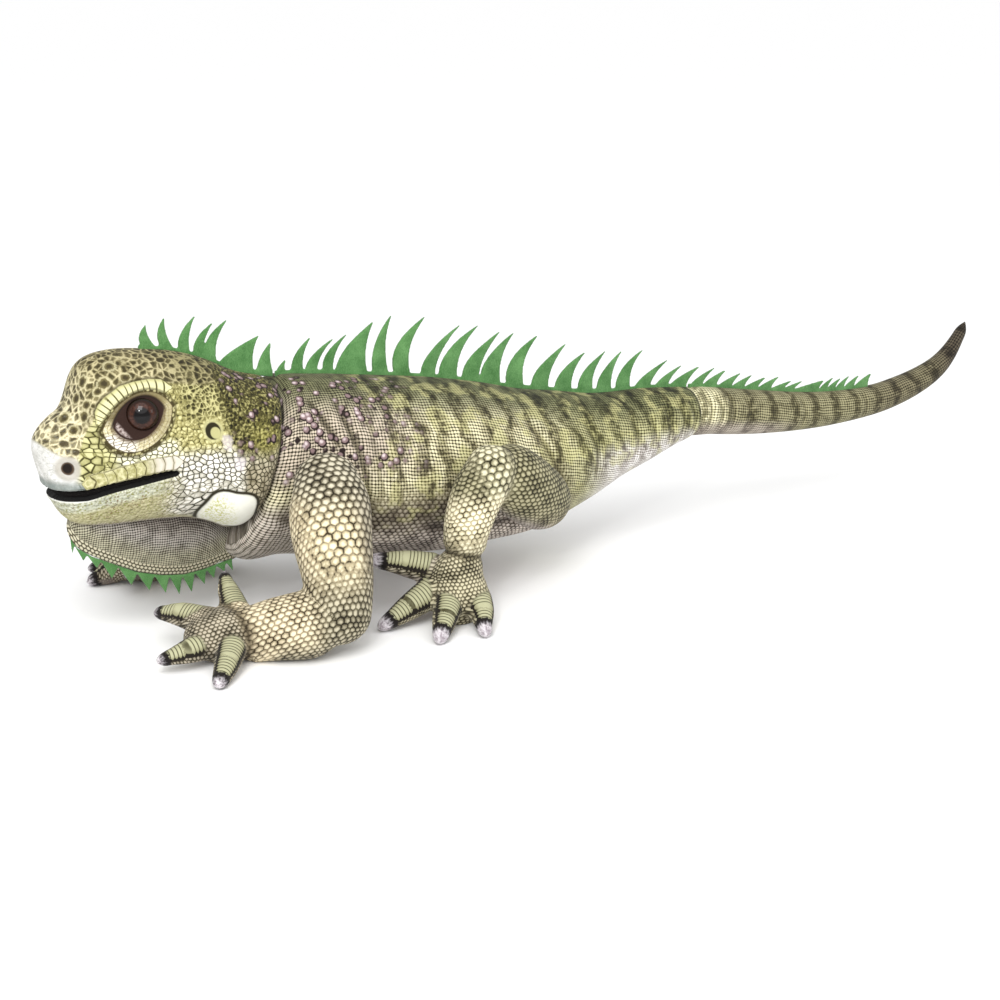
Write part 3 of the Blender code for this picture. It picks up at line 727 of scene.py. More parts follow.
class Recipe:
    """A material under the brush: its nodes, made one by one."""

    def __init__(self, name: str) -> None:
        """Starts an empty material."""
        self.material = bpy.data.materials.new(name)
        self.material.use_nodes = True
        self.tree = self.material.node_tree
        self.tree.nodes.clear()

    def node(
        self,
        kind: str,
        settings: dict[str, object] | None = None,
        sockets: dict[str | int, object] | None = None,
    ) -> bpy.types.ShaderNode:
        """Adds a node.

        Args:
            kind: Its type without the first words.
            settings: Its properties, set first.
            sockets: The values or links of its inputs.

        Returns:
            The node.
        """
        made = self.tree.nodes.new("ShaderNode" + kind)
        for key, value in (settings or {}).items():
            setattr(made, key, value)
        for key, value in (sockets or {}).items():
            if isinstance(value, Signal):
                self.tree.links.new(value.socket, made.inputs[key])
            elif isinstance(value, tuple) and made.inputs[key].type == "RGBA":
                made.inputs[key].default_value = (*value, 1.0)
            else:
                made.inputs[key].default_value = value
        return made

    def out(
        self,
        kind: str,
        settings: dict[str, object] | None = None,
        sockets: dict[str | int, object] | None = None,
        output: str | int = 0,
    ) -> Signal:
        """Adds a node and hands back one of its outputs."""
        return Signal(self, self.node(kind, settings, sockets).outputs[output])

    def maths(self, operation: str, *amounts: Amount) -> Signal:
        """Adds one step of arithmetic."""
        return self.out("Math", {"operation": operation}, dict(enumerate(amounts)))

    def vector(self, operation: str, *amounts: object) -> Signal:
        """Adds one step of vector arithmetic."""
        return self.out("VectorMath", {"operation": operation}, dict(enumerate(amounts)))

    def blend(self, first: object, second: object, share: Amount) -> Signal:
        """Mixes two colours, all of the second one where the share is 1."""
        sockets = {0: share, 6: first, 7: second}
        return self.out("Mix", {"data_type": "RGBA"}, sockets, output=2)

    def marked(self, name: str, output: str = "Fac") -> Signal:
        """Reads what was marked on the piece's vertices."""
        return self.out("Attribute", {"attribute_name": name}, output=output)

    def place(self) -> Signal:
        """The place on the toy, in millimetres of its own measure."""
        here = self.out("TexCoord", output="Object")
        back = tuple(-value / MM for value in SHIFT)
        return self.out("Mapping", None, {"Vector": here, "Scale": (1000.0,) * 3, "Location": back})

    def parts(self, vector: Signal) -> tuple[Signal, Signal, Signal]:
        """The three numbers of a vector."""
        made = self.node("SeparateXYZ", None, {0: vector})
        return tuple(Signal(self, made.outputs[number]) for number in range(3))

    def joined(self, x: Amount, y: Amount, z: Amount = 0.0) -> Signal:
        """A vector of three numbers."""
        return self.out("CombineXYZ", None, {0: x, 1: y, 2: z})

    def noise(self, at: Signal, size: float, detail: float = 2.0, rough: float = 0.5) -> Signal:
        """Soft clouds, from 0 to 1, that repeat about every size millimetres."""
        sockets = {"Vector": at, "Scale": 1 / size, "Detail": detail, "Roughness": rough}
        return self.out("TexNoise", None, sockets)

    def stray(self, at: Signal, size: float, reach: float) -> Signal:
        """The place moved about a little, so that a pattern looks drawn by hand."""
        sockets = {"Vector": at, "Scale": 1 / size, "Detail": 1.0}
        drift = self.out("TexNoise", None, sockets, output="Color")
        centred = self.vector("SUBTRACT", drift, (0.5, 0.5, 0.5))
        moved = self.out("VectorMath", {"operation": "SCALE"}, {0: centred, "Scale": 2 * reach})
        return self.vector("ADD", at, moved)

    def cells(self, at: Signal, size: float, jitter: float = 0.9, feature: str = "F1",
              flat: bool = False) -> Signal:
        """How far a place lies from the middle, or the edge, of a cell about size millimetres wide."""
        settings = {"feature": feature, "voronoi_dimensions": "2D" if flat else "3D"}
        sockets = {"Vector": at, "Scale": 1 / size, "Randomness": jitter}
        return self.out("TexVoronoi", settings, sockets)

    def finish(self, colour: object, rough: Amount, height: Signal | None, depth: float,
               **sockets: object) -> bpy.types.Material:
        """Closes the material with its surface.

        Args:
            colour: The base colour.
            rough: The roughness.
            height: What stands proud, from 0 to 1.
            depth: How far that stands proud, in millimetres.
            sockets: Further sockets of the surface, with _ for a space in their names.

        Returns:
            The material.
        """
        inputs: dict[str | int, object] = {"Base Color": colour, "Roughness": rough}
        inputs.update({name.replace("_", " "): value for name, value in sockets.items()})
        if height is not None:
            bump = {"Height": height, "Distance": depth * MM, "Strength": 1.0}
            inputs["Normal"] = self.out("Bump", None, bump)
        surface = self.out("BsdfPrincipled", None, inputs)
        self.node("OutputMaterial", None, {"Surface": surface})
        return self.material


INK_DEPTH = np.array([[0.42], [0.74], [0.90]])   # how far the dark, middle and light inks cover


class Pattern(Enum):
    """The drawings that the cloth is printed with: each one's kind and its sizes, in millimetres."""

    HOLLOWS = ("hollows", 5.4)
    SMALL_HOLLOWS = ("hollows", 3.3)
    CELLS = ("outlined", 5.6)
    FINE = ("relief", 2.7)
    SMALL_CELLS = ("outlined", 3.7)
    GRID = ("grid",)
    SCALES = ("scales", 7.0, 6.2)
    SMALL_SCALES = ("scales", 5.0, 4.5)
    TINY_SCALES = ("scales", 3.7, 3.4)
    CLOUDS = ("clouds", 7.0)


@dataclass(frozen=True)
class Shades:
    """The dark, middle and light ink of one part of a print, as screen colours."""

    dark: tuple[int, int, int]
    middle: tuple[int, int, int]
    light: tuple[int, int, int]

    def inks(self) -> Points:
        """The three inks as rows of light."""
        return np.array([ink(*self.dark), ink(*self.middle), ink(*self.light)]) * INK_DEPTH


class Painter:
    """Lays out a print on a piece, one zone over another."""

    def __init__(self, piece: bpy.types.Object, ground: Shades, pattern: Pattern) -> None:
        """Starts with one print all over."""
        count = len(piece.data.vertices)
        self.piece = piece
        self.inks = np.repeat(ground.inks()[None], count, axis=0)
        self.shares = {kind: np.zeros(count) for kind in Pattern}
        self.shares[pattern][:] = 1.0

    def zone(self, mask: Points, shades: Shades, pattern: Pattern | None = None) -> None:
        """Paints one zone.

        Args:
            mask: How much of it shows at each vertex.
            shades: Its inks.
            pattern: Its drawing, or None to keep what is there.
        """
        self.inks += (shades.inks()[None] - self.inks) * mask[:, None, None]
        if pattern:
            for kind, share in self.shares.items():
                wanted = 1.0 if kind is pattern else 0.0
                share += (wanted - share) * mask

    def lay(self) -> None:
        """Marks the finished layout on the piece."""
        for number, name in enumerate(("dark", "middle", "light")):
            layer = self.piece.data.attributes.new(name, "FLOAT_COLOR", "POINT")
            rows = np.column_stack([self.inks[:, number], np.ones(len(self.inks))])
            layer.data.foreach_set("color", rows.astype(np.float32).ravel())
        for kind, share in self.shares.items():
            if share.max() > 0:
                add_value(self.piece, kind.name.lower(), share)


def rising(value: Points, low: float, high: float) -> Points:
    """A soft step from 0 at low to 1 at high."""
    share = np.clip((value - low) / (high - low), 0, 1)
    return share * share * (3 - 2 * share)


def falling(value: Points, low: float, high: float) -> Points:
    """A soft step from 1 at low to 0 at high."""
    return 1 - rising(value, low, high)


def between(value: Points, low: float, high: float, soft: float) -> Points:
    """1 between low and high, falling off over a soft edge on either side."""
    return rising(value, low - soft, low + soft) * falling(value, high - soft, high + soft)


class Print(Recipe):
    """The printed short-pile cloth: drawings in three inks over a layout of zones."""

    def __init__(self, name: str, pitch: float = 2.7) -> None:
        """Starts the cloth's recipe.

        Args:
            name: The print's name.
            pitch: How wide one mesh of the net is, in millimetres.
        """
        super().__init__(name)
        self.at = self.place()
        self.x, across, self.z = self.parts(self.at)
        self.side = abs(across)
        self.cloth = self.out("UVMap", {"uv_map": "print"})
        self.sheet = self.cloth
        self.pitch = pitch
        self.shown: object = None
        self.tone: Amount = 0.0

    def mix(self, first: Dye, second: Dye, share: Amount) -> Signal:
        """Mixes two inks, all of the second one where the share is 1."""
        taken = (dye(*it) if isinstance(it, tuple) else it for it in (first, second))
        return self.blend(*taken, share)

    def lay(self, colour: Dye, share: Amount) -> None:
        """Prints one more ink over what is there."""
        self.shown = self.mix(self.shown, colour, share)

    def clouds(self, size: float) -> Signal:
        """Soft uneven dye."""
        return self.noise(self.at, size, 3.0, 0.6) * 0.9 + 0.12

    def relief(self, size: float) -> Signal:
        """Small domes drawn with a bright side, a dark side and dark gaps."""
        bent = self.stray(self.at, size * 2.6, size * 0.3)
        lit = self.vector("ADD", bent, (-0.16 * size, -0.10 * size, 0.28 * size))
        here, there = self.cells(bent, size), self.cells(lit, size)
        fleck = self.noise(self.at, size * 0.4, 2.0)
        cloud = self.noise(self.at, 16, 2.0)
        tone = (there - here) * 1.3 - here.rise(0.45, 0.8) * 0.35
        return tone + fleck * 0.45 + cloud * 0.6 - 0.02

    def hollows(self, size: float) -> Signal:
        """Sunken cells between thin pale ridges, each darkest on its upper side."""
        bent = self.stray(self.at, size * 2.2, size * 0.45)
        edge = self.cells(bent, size, feature="DISTANCE_TO_EDGE")
        lit = self.vector("ADD", bent, (-0.16 * size, -0.10 * size, 0.26 * size))
        lean = self.cells(bent, size) - self.cells(lit, size)
        fleck = self.noise(self.at, size * 0.32, 3.0, 0.65)
        cloud = self.noise(self.at, 13, 2.0)
        return edge.drop(0.02, 0.24) * 0.5 + lean * 0.9 + fleck * 0.9 + cloud * 0.7 - 0.55

    def outlined(self, size: float) -> Signal:
        """Flat cells with dark outlines, drawn on the cloth."""
        bent = self.stray(self.sheet, size * 2.2, size * 0.28)
        edge = self.cells(bent, size, 0.8, "DISTANCE_TO_EDGE", flat=True)
        sockets = {"Vector": bent, "Scale": 1 / size, "Randomness": 0.8}
        plain = self.node("TexVoronoi", {"voronoi_dimensions": "2D"}, sockets)
        tint = self.parts(Signal(self, plain.outputs["Color"]))[0]
        middle = Signal(self, plain.outputs["Distance"]).drop(0.1, 0.75)
        fleck = self.noise(self.at, 1.2, 2.0, 0.6)
        body = 0.22 + 0.42 * tint + 0.3 * middle + 0.3 * fleck
        return edge.rise(0.02, 0.15) * body

    def grid(self) -> Signal:
        """A fine net of light cells between rows of dark dots."""
        pitch = self.pitch
        along, around, _ = self.parts(self.stray(self.cloth, 16, 1.6))
        across = abs((along / pitch).wrapped(1) - 0.5) * 2
        down = abs((around / (pitch * 0.92)).wrapped(1) - 0.5) * 2
        dot = across * across * 0.8 + down * down
        fleck = self.noise(self.cloth, 2.0, 2.0, 0.6)
        cloud = self.noise(self.cloth, 9, 3.0, 0.6)
        return dot.drop(0.3, 1.2) * 0.95 + fleck * 0.5 + cloud * 1.1 - 0.86

    def scales(self, wide: float, tall: float) -> Signal:
        """Six-sided scales in offset rows, each light in its middle and dark round its edge."""
        bent = self.stray(self.stray(self.cloth, 15, 1.3), 4.0, 0.45)
        place = self.vector("MULTIPLY", bent, (1 / wide, 1 / tall, 0.0))
        period, half = (1.0, 1.732, 1.0), (0.5, 0.866, 0.0)
        ends = []
        for start in (place, self.vector("SUBTRACT", place, half)):
            share = self.vector("FRACTION", self.vector("DIVIDE", start, period))
            offset = self.vector("SUBTRACT", self.vector("MULTIPLY", share, period), half)
            x, y, _ = self.parts(offset)
            edge = abs(x).most(abs(x) * 0.5 + abs(y) * 0.866)
            ends.append((edge, y))
        nearer = ends[0][0].drop(ends[1][0] - 0.001, ends[1][0] + 0.001)
        edge = ends[0][0].least(ends[1][0])
        lift = ends[0][1] * nearer + ends[1][1] * (1 - nearer)
        fleck = self.noise(self.cloth, 1.6, 2.0, 0.6)
        cloud = self.noise(self.cloth, 13, 3.0, 0.6)
        body = edge.drop(0.3, 0.5)
        tone = body * 0.42 + edge.drop(0.05, 0.45) * 0.34 - lift * 0.5 * body
        return tone + fleck * 0.4 + cloud * 1.3 - 0.71

    def draw(self, *kinds: Pattern, shade: Amount = 0.0) -> None:
        """Prints the cloth.

        Args:
            kinds: The drawings that the layout uses.
            shade: What darkens the print, from 0 to 1: its dark printed bands, painted shade in
                creases, or both.
        """
        for kind in kinds:
            drawing, *sizes = kind.value
            self.tone = getattr(self, drawing)(*sizes) * self.marked(kind.name.lower()) + self.tone
        self.tone = self.tone * (1 - shade)
        dark, middle, light = (self.marked(name, "Color") for name in ("dark", "middle", "light"))
        low = self.blend(dark, middle, self.tone.rise(0.0, 0.5))
        self.shown = self.blend(low, light, self.tone.rise(0.45, 1.0))

    def warts(self) -> None:
        """Round lilac warts where they are marked, each with a pale top and a dark foot."""
        low = self.vector("ADD", self.at, (-0.5, 0.0, 0.9))
        high = self.vector("ADD", self.at, (0.4, 0.0, -0.7))
        gap, shade, bright = (self.cells(self.stray(spot, 5, 0.7), WART_STEP)
                              for spot in (self.at, low, high))
        share = self.marked("warts") * self.noise(self.at, 24, 1.0).rise(0.42, 0.50)
        self.lay((38, 26, 24), shade.drop(0.40, 0.52) * gap.drop(0.46, 0.56) * share)
        self.lay((148, 124, 124), gap.drop(0.28, 0.38) * share)
        self.lay((232, 216, 216), bright.drop(0.08, 0.27) * share)

    def close(self) -> bpy.types.Material:
        """Adds the pile's nap and closes the recipe."""
        height = self.noise(self.at, 0.45, 2.0, 0.6) * 0.7 + self.tone * 0.3
        return self.finish(self.shown, 0.86, height, 0.35, Sheen_Weight=0.05, Sheen_Roughness=0.5,
                           Specular_IOR_Level=0.22)


# ---------------------------------------------------------------- the pieces


FOREHEAD = Shades((104, 94, 58), (146, 136, 96), (214, 204, 162))
# painted shade: the forehead's inks made darker for the top of the crown
CROWN_TOP_PAINTED_SHADE = Shades((82, 73, 42), (118, 108, 72), (186, 176, 134))
CROWN_REAR = Shades((48, 43, 20), (84, 78, 45), (146, 138, 95))
SNOUT_TOP = Shades((110, 99, 70), (170, 160, 122), (232, 222, 184))
CHEEK = Shades((90, 84, 38), (174, 166, 106), (224, 218, 162))
OLIVE = Shades((74, 68, 34), (132, 126, 76), (198, 192, 136))
WHITE_CELLS = Shades((70, 67, 45), (200, 197, 158), (249, 245, 221))
LOREAL = Shades((86, 80, 40), (160, 156, 98), (210, 206, 152))
LIP_MINT = Shades((158, 164, 140), (206, 208, 184), (238, 240, 222))
LABIAL = Shades((126, 118, 80), (200, 195, 150), (242, 238, 192))
NOSE = Shades((164, 163, 147), (232, 231, 224), (255, 253, 253))
NOSE_BLUE = Shades((100, 113, 107), (142, 150, 145), (190, 195, 189))
JAW = Shades((140, 130, 84), (196, 190, 144), (226, 220, 182))
JOWL = Shades((52, 49, 36), (192, 188, 170), (250, 246, 238))
SHIELD = Shades((200, 200, 172), (236, 235, 221), (252, 251, 239))
MOSS = Shades((26, 23, 6), (78, 73, 33), (170, 164, 106))
NECK_GREEN = Shades((84, 80, 28), (148, 142, 74), (206, 200, 124))
NECK_LOW = Shades((58, 51, 32), (130, 121, 94), (186, 177, 150))
THROAT = Shades((104, 94, 80), (150, 140, 126), (214, 205, 192))
UPPER_TRUNK = Shades((26, 24, 12), (72, 74, 44), (120, 122, 84))
FRONT_TRUNK = Shades((58, 51, 38), (140, 130, 108), (212, 198, 178))
MIDDLE_TRUNK = Shades((62, 56, 32), (168, 160, 121), (236, 230, 192))
FLANK = Shades((60, 49, 37), (106, 96, 80), (158, 149, 130))
BELLY = Shades((74, 63, 56), (164, 151, 139), (236, 226, 214))
REAR = Shades((68, 66, 34), (140, 137, 92), (196, 193, 146))
REAR_LOW = Shades((156, 144, 132), (220, 213, 206), (255, 252, 248))
TAIL_BASE = Shades((57, 53, 30), (116, 110, 78), (165, 160, 124))
TAIL_ROOT = Shades((104, 97, 65), (190, 184, 142), (246, 240, 200))
TAIL_UNDER = Shades((121, 110, 98), (167, 156, 142), (195, 185, 169))
TAIL_FAR = Shades((46, 41, 25), (92, 85, 63), (138, 131, 102))
TAIL_END = Shades((30, 25, 18), (60, 53, 42), (92, 83, 68))
DEWLAP_TOP = Shades((56, 51, 42), (120, 115, 106), (178, 172, 164))
# painted shade under the jaw: darker inks for the dewlap's upper rear
DEWLAP_PAINTED_SHADE = Shades((42, 36, 32), (88, 80, 74), (148, 140, 132))
DEWLAP_LOW = Shades((82, 77, 59), (128, 122, 102), (188, 184, 158))
ARM_LIGHT = Shades((84, 70, 46), (210, 194, 156), (250, 238, 202))
ARM_REAR = Shades((60, 50, 34), (128, 118, 97), (190, 181, 158))
SHOULDER = Shades((56, 48, 30), (122, 114, 92), (214, 206, 182))
ELBOW = Shades((50, 43, 26), (126, 118, 94), (196, 188, 162))
FOREARM = Shades((78, 64, 42), (190, 174, 141), (242, 229, 196))
LIMB_UNDER = Shades((100, 90, 72), (158, 147, 137), (211, 200, 191))
HAND = Shades((50, 44, 27), (114, 105, 85), (192, 182, 160))
THIGH = Shades((42, 38, 20), (106, 101, 72), (178, 172, 138))
KNEE = Shades((62, 57, 32), (166, 160, 126), (236, 230, 196))
SHIN = Shades((92, 80, 50), (214, 202, 164), (254, 246, 214))
FOOT = Shades((44, 38, 22), (128, 120, 94), (210, 202, 170))

BROW_LINE: Line = (
    (-361, 180), (-358, 186), (-351, 194), (-340.5, 200.3), (-331, 202.2), (-320, 202.8),
    (-306, 200.8),
)
BROW_LENGTH = 66.5
CROWN_EDGE: Line = (
    (-398, 166), (-389, 159), (-381, 154.5), (-375, 155), (-370, 168), (-362.3, 184),
    (-352.3, 197.4), (-341.3, 203.5),
    (-322.3, 205.5), (-302.3, 203.0), (-280, 199),
)
NECK_EDGE: Line = (
    (-264, 214), (-265, 207.8), (-268, 200), (-270, 189), (-270, 175), (-267, 160),
    (-262.5, 148.7), (-260, 138),
)
LABIAL_LINE: Line = (
    (-384, 134.8), (-372, 136.4), (-358.6, 139.2), (-348.4, 142.2), (-338, 144.4), (-327.4, 146.2),
    (-316.6, 147.2), (-304, 147.4), (-292, 147.0),
)
LABIAL_LENGTH = 93.6
PITS = (
    (-377, 12, 182), (-367, 26, 184), (-374, 23, 174.5), (-356, 28, 201), (-363, 15, 207),
    (-344, 20, 216.6), (-336, 30, 209), (-364, 25, 192), (-351, 28, 206.5), (-368, 13.5, 195),
)
NOSTRIL = (-381.7, 27.9, 147.9)
EAR = (-279.5, 51.7, 167.5)
SHIELD_MIDDLE = (-267.0, 50.0, 102.5)
SHIELD_HALF = (20.5, 19.0)     # half as wide and half as tall as the white scale
BROW_PLATE = 4.5               # how long one plate over the eye is
LABIAL_PLATE = 7.4             # how long one plate over the mouth is
JAW_PLATE = 5.4                # how long one plate under the mouth is
LID_FOLD = 2.6                 # how far apart the lids' folds are
WART_STEP = 7.8                # how far apart the warts are


def shield_reach(flat: Points) -> Points:
    """How far each place lies from the jowl's shield: 1 on its outline, less inside it."""
    gap = (flat - np.array(SHIELD_MIDDLE[::2])) / np.array(SHIELD_HALF)
    gap[:, 1] += gap[:, 0] * 0.16
    bumps = 0.05 * np.sin(5 * np.arctan2(gap[:, 1], gap[:, 0]) + 0.8)
    return (np.abs(gap) ** 2.5).sum(1) ** 0.4 + bumps


BODY_FOLDS = (
    (((-176, 182), (-170, 154), (-163, 124), (-158, 84), (-160, 56)), 2.4, 3.2),
    (((-196, 180), (-188, 162), (-180, 142)), 2.0, 3.6),
    (((-232, 96), (-214, 84), (-196, 78), (-176, 82)), 2.2, 4.5),
    (((-120, 72), (-80, 63), (-40, 61), (0, 66)), 1.8, 6.0),
    (((-6, 144), (8, 120), (20, 96), (26, 66)), 2.4, 4.0),
    (((58, 132), (66, 108), (64, 78)), 1.6, 4.0),
    (((112, 126), (118, 106), (114, 86)), 1.4, 3.4),
    (((134, 128), (139, 108), (134, 90)), 1.2, 2.8),
    (((154, 130), (160, 112), (155, 92)), 1.5, 2.8),
    (((170, 130), (176, 112), (171, 92)), 1.5, 2.6),
    (((184, 130), (190, 112), (186, 94)), 1.4, 2.4),
)
TAIL_FOLDS = (
    (((206, 134), (211, 118), (206, 94)), 1.5, 2.4),
    (((218, 132), (224, 114), (219, 94)), 1.2, 2.4),
    (((232, 130), (238, 112), (233, 92)), 1.0, 2.4),
    (((252, 124), (257, 108), (252, 90)), 0.8, 2.6),
    (((322, 114), (325, 102), (322, 86)), 0.6, 2.4),
    (((402, 108), (405, 96), (402, 84)), 0.6, 2.4),
)


class HeadPrint(Print):
    """The head's print, with the parts of it that are drawn one by one."""

    def specks(self) -> None:
        """Green and rusty specks on the lower jaw."""
        jaw = self.marked("jaw")
        dots = self.cells(self.at, 2.3, 1.0).drop(0.22, 0.46)
        green = self.noise(self.at, 9, 3.0, 0.6).rise(0.36, 0.56) * dots
        far = self.vector("ADD", self.at, (40.0, 0.0, 17.0))
        rust = self.cells(far, 2.0, 1.0).drop(0.18, 0.4)
        rust = rust * self.noise(far, 12, 2.0).rise(0.44, 0.58)
        self.lay((150, 150, 78), green * jaw * 0.9)
        self.lay((130, 100, 66), rust * jaw * 0.85)
        x, y, z = self.parts(self.at)
        grain = self.noise(self.joined(x * 0.5, y * 0.5, z * 1.5), 4.5, 3.0, 0.6)
        lines = abs(grain - 0.5).drop(0.0, 0.035) * x.drop(-377, -372)
        self.lay((140, 140, 128), lines * 0.45)

    def lip_edges(self) -> None:
        """The white edge of the lower lip in front, its small plates and the black opening."""
        x = self.x
        under = self.marked("under_mouth") + self.noise(self.at, 4, 2.0) * 0.8 - 0.4
        strip = under.rise(4.0, 4.6) * under.drop(5.4, 6.6) * x.drop(-372, -356)
        self.lay((246, 246, 238), strip)
        wavy = (x + self.noise(self.at, 12, 1.0) * 6) / JAW_PLATE
        step = abs(wavy.wrapped(1) - 0.5).rise(0.42, 0.48)
        row = under.rise(2.5, 3.5) * under.drop(8.5, 10) * x.rise(-374, -364) * x.drop(-322, -306)
        self.lay((132, 132, 84), step * row * 0.5)
        self.lay((14, 13, 13), self.marked("mouth_off").drop(0.2, 0.8))

    def pits(self) -> None:
        """The dark pits with pale rims on the crown."""
        gap = self.marked("pit_off") + self.noise(self.at, 3.5, 2.0, 0.7) * 0.9 - 0.45
        rim = gap.rise(0.8, 1.0) * gap.drop(1.12, 1.4)
        self.lay((206, 198, 156), rim * 0.75)
        self.lay((120, 110, 72), gap.drop(0.75, 0.98))
        self.lay((56, 48, 28), gap.drop(0.35, 0.8) * 0.85)

    def brow(self) -> None:
        """The band of narrow plates over the eye, tapered at both ends."""
        off, run = self.marked("brow_off"), self.marked("brow_run")
        gap = abs((run / BROW_PLATE).wrapped(1) - 0.5)
        plate = gap.drop(0.32, 0.46)
        self.lay((62, 54, 26), off.drop(5.2, 7.0) * 0.8)
        plates = self.mix((84, 78, 38), (238, 234, 182), plate)
        plates = self.mix(plates, (190, 186, 124), off.rise(2.4, 5.0) * 0.7)
        self.lay(plates, off.drop(4.5, 5.2))

    def labials(self) -> None:
        """The row of plates over the mouth: green in front, whitish behind."""
        off, run = self.marked("labial_off"), self.marked("labial_run")
        wavy = run + off * 0.3 + self.noise(self.joined(run, 0.0), 9, 2.0) * 8
        gap = abs((wavy / LABIAL_PLATE).wrapped(1) - 0.5)
        plate = gap.drop(0.43, 0.49)
        cloud = self.noise(self.joined(run, off), 3.0, 3.0, 0.6)
        off = off + cloud * 2.4 - 1.2
        body = self.mix((172, 167, 108), (232, 227, 178), cloud.rise(0.35, 0.65))
        body = self.mix(body, (236, 228, 214), run.rise(52, 70))
        body = self.mix(body, (160, 154, 96), gap.rise(0.2, 0.44) * 0.4)
        plates = self.mix((92, 84, 46), body, plate)
        self.lay((84, 76, 42), off.drop(5.2, 6.0) * 0.8)
        self.lay(plates, off.drop(4.8, 5.4))

    def shield(self) -> None:
        """The big white scale on the jowl, dark round its edge and speckled green low down."""
        rim, near = self.marked("shield_off"), self.side.rise(18, 24)
        self.lay((50, 46, 30), rim.rise(0.9, 0.97) * rim.drop(1.02, 1.1) * near)
        self.shown = self.blend(self.shown, ink(242, 242, 232), rim.drop(0.82, 0.94) * near * 0.75)
        speck = self.noise(self.at, 1.9, 3.0, 0.7).rise(0.48, 0.58)
        low = (self.x + self.z * 0.5).drop(-222, -208) * rim.drop(0.7, 0.9) * near
        self.lay((214, 214, 112), speck * low * 0.85)

    def lids(self) -> None:
        """The printed lids: a dark almond in pale folds that are widest below and behind; painted
        shade darkens the upper lid and the almond's top under the brow.
        """
        right = self.x - EYE_CENTRE[0]
        up = self.z - EYE_CENTRE[2] - right * 0.26 + 1.5
        near = self.side.rise(26, 32)

        def lens(middle: float, top: float, low: float, half: float) -> Signal:
            """How far outside a lens-shaped outline a place lies, in millimetres."""
            edges = []
            aside = right - middle
            for height, sign in ((top, 1.0), (low, -1.0)):
                radius = (half * half + height * height) / (2 * height)
                back = up * sign - height + radius
                edges.append((aside * aside + back * back).root() - radius)
            return edges[0].most(edges[1])

        outer = lens(-3.0, 18.6, 25.5, 28.0)
        lid = lens(-3.0, 17.0, 22.5, 25.5)
        almond = lens(-2.8, 13.6, 13.8, 18.6)
        bead = self.cells(self.joined(right, up), 2.7, 0.7)
        ring = self.mix((70, 62, 32), (206, 198, 144), bead.drop(0.2, 0.6))
        self.lay((74, 66, 36), outer.drop(0.4, 2.0) * near * 0.7)
        self.lay(ring, outer.drop(-0.6, 0.4) * near)
        fold = abs((lid / LID_FOLD).wrapped(1) - 0.5).rise(0.3, 0.5)
        angle = self.maths("ARCTAN2", up, right)
        dash = abs((angle * 5.1).wrapped(1) - 0.5).drop(0.04, 0.14)
        fleck = self.noise(self.joined(right, up), 1.5, 3.0, 0.65).rise(0.4, 0.65)
        pale = self.mix((212, 200, 152), (252, 244, 212), fleck)
        pale = self.mix(pale, (108, 94, 58), (fold * 0.6 + dash * 0.4).least(1.0))
        flat = self.stray(self.joined(right * 0.8, up * 1.3), 6, 1.0)
        seam = self.cells(flat, 3.4, 0.8, "DISTANCE_TO_EDGE", flat=True)
        crinkle = self.mix((90, 80, 54), (250, 242, 226), seam.rise(0.02, 0.14))
        pale = self.mix(pale, crinkle, right.drop(-9, -4) * up.drop(-6, -3))
        # painted shade under the brow: the upper part of the lid printed darker
        pale = self.mix(pale, (104, 92, 56), up.rise(1, 7) * 0.85)
        pale = self.mix(pale, (158, 146, 100), right.rise(2, 12) * 0.55)
        self.lay((78, 66, 38), lid.drop(0.2, 1.2) * near * 0.8)
        self.lay(pale, lid.drop(-0.5, 0.3) * near)
        self.lay((96, 74, 48), almond.drop(1.0, 3.4) * near * 0.7)
        # painted shade under the upper lid, along the almond's top edge
        self.lay((38, 27, 20), almond.drop(0.8, 2.4) * up.rise(-3, 3) * near)
        self.lay((50, 31, 24), almond.drop(-0.2, 0.8) * near)
        grey = self.mix((190, 176, 170), (104, 84, 78), fleck)
        corner = (right + up * 0.6).drop(-18.4, -16.0) * almond.drop(-1.8, -0.6)
        self.lay(grey, corner * near)

    def spots(self) -> None:
        """The nostril, the ear and the pale smears on the neck."""
        def away(place: Row, wide: float, tall: float) -> Signal:
            """How far a place lies from a spot, counted in the spot's own size."""
            dx, dz = (self.x - place[0]) / wide, (self.z - place[2]) / tall
            return (dx * dx + dz * dz).root()

        nostril = away(NOSTRIL, 3.9, 4.5)
        near = self.side.rise(12, 18)
        rim = nostril.rise(0.9, 1.3) * nostril.drop(1.7, 2.3)
        self.lay((196, 190, 178), rim * near * 0.8)
        self.lay((96, 78, 62), nostril.drop(0.95, 1.2) * near)
        self.lay((32, 23, 18), nostril.drop(0.65, 1.0) * near)
        for place in ((-270.0, 50.0, 158.0), (-262.0, 50.0, 142.0)):
            rough = self.noise(self.joined(self.x, self.z), 5, 3.0)
            smear = away(place, 5.0, 6.5) + rough * 1.2 - 0.6
            self.lay((232, 222, 226), smear.drop(0.5, 1.1) * near * 0.6)
        ear = away(EAR, 5.8, 6.2)
        drum = away((EAR[0] + 1.8, EAR[1], EAR[2] - 1.6), 4.0, 4.4)
        self.lay((208, 204, 150), ear.drop(1.2, 1.5) * near * 0.7)
        self.lay((44, 40, 20), ear.drop(0.9, 1.1) * near)
        self.lay((196, 192, 136), drum.drop(0.8, 1.05) * near)


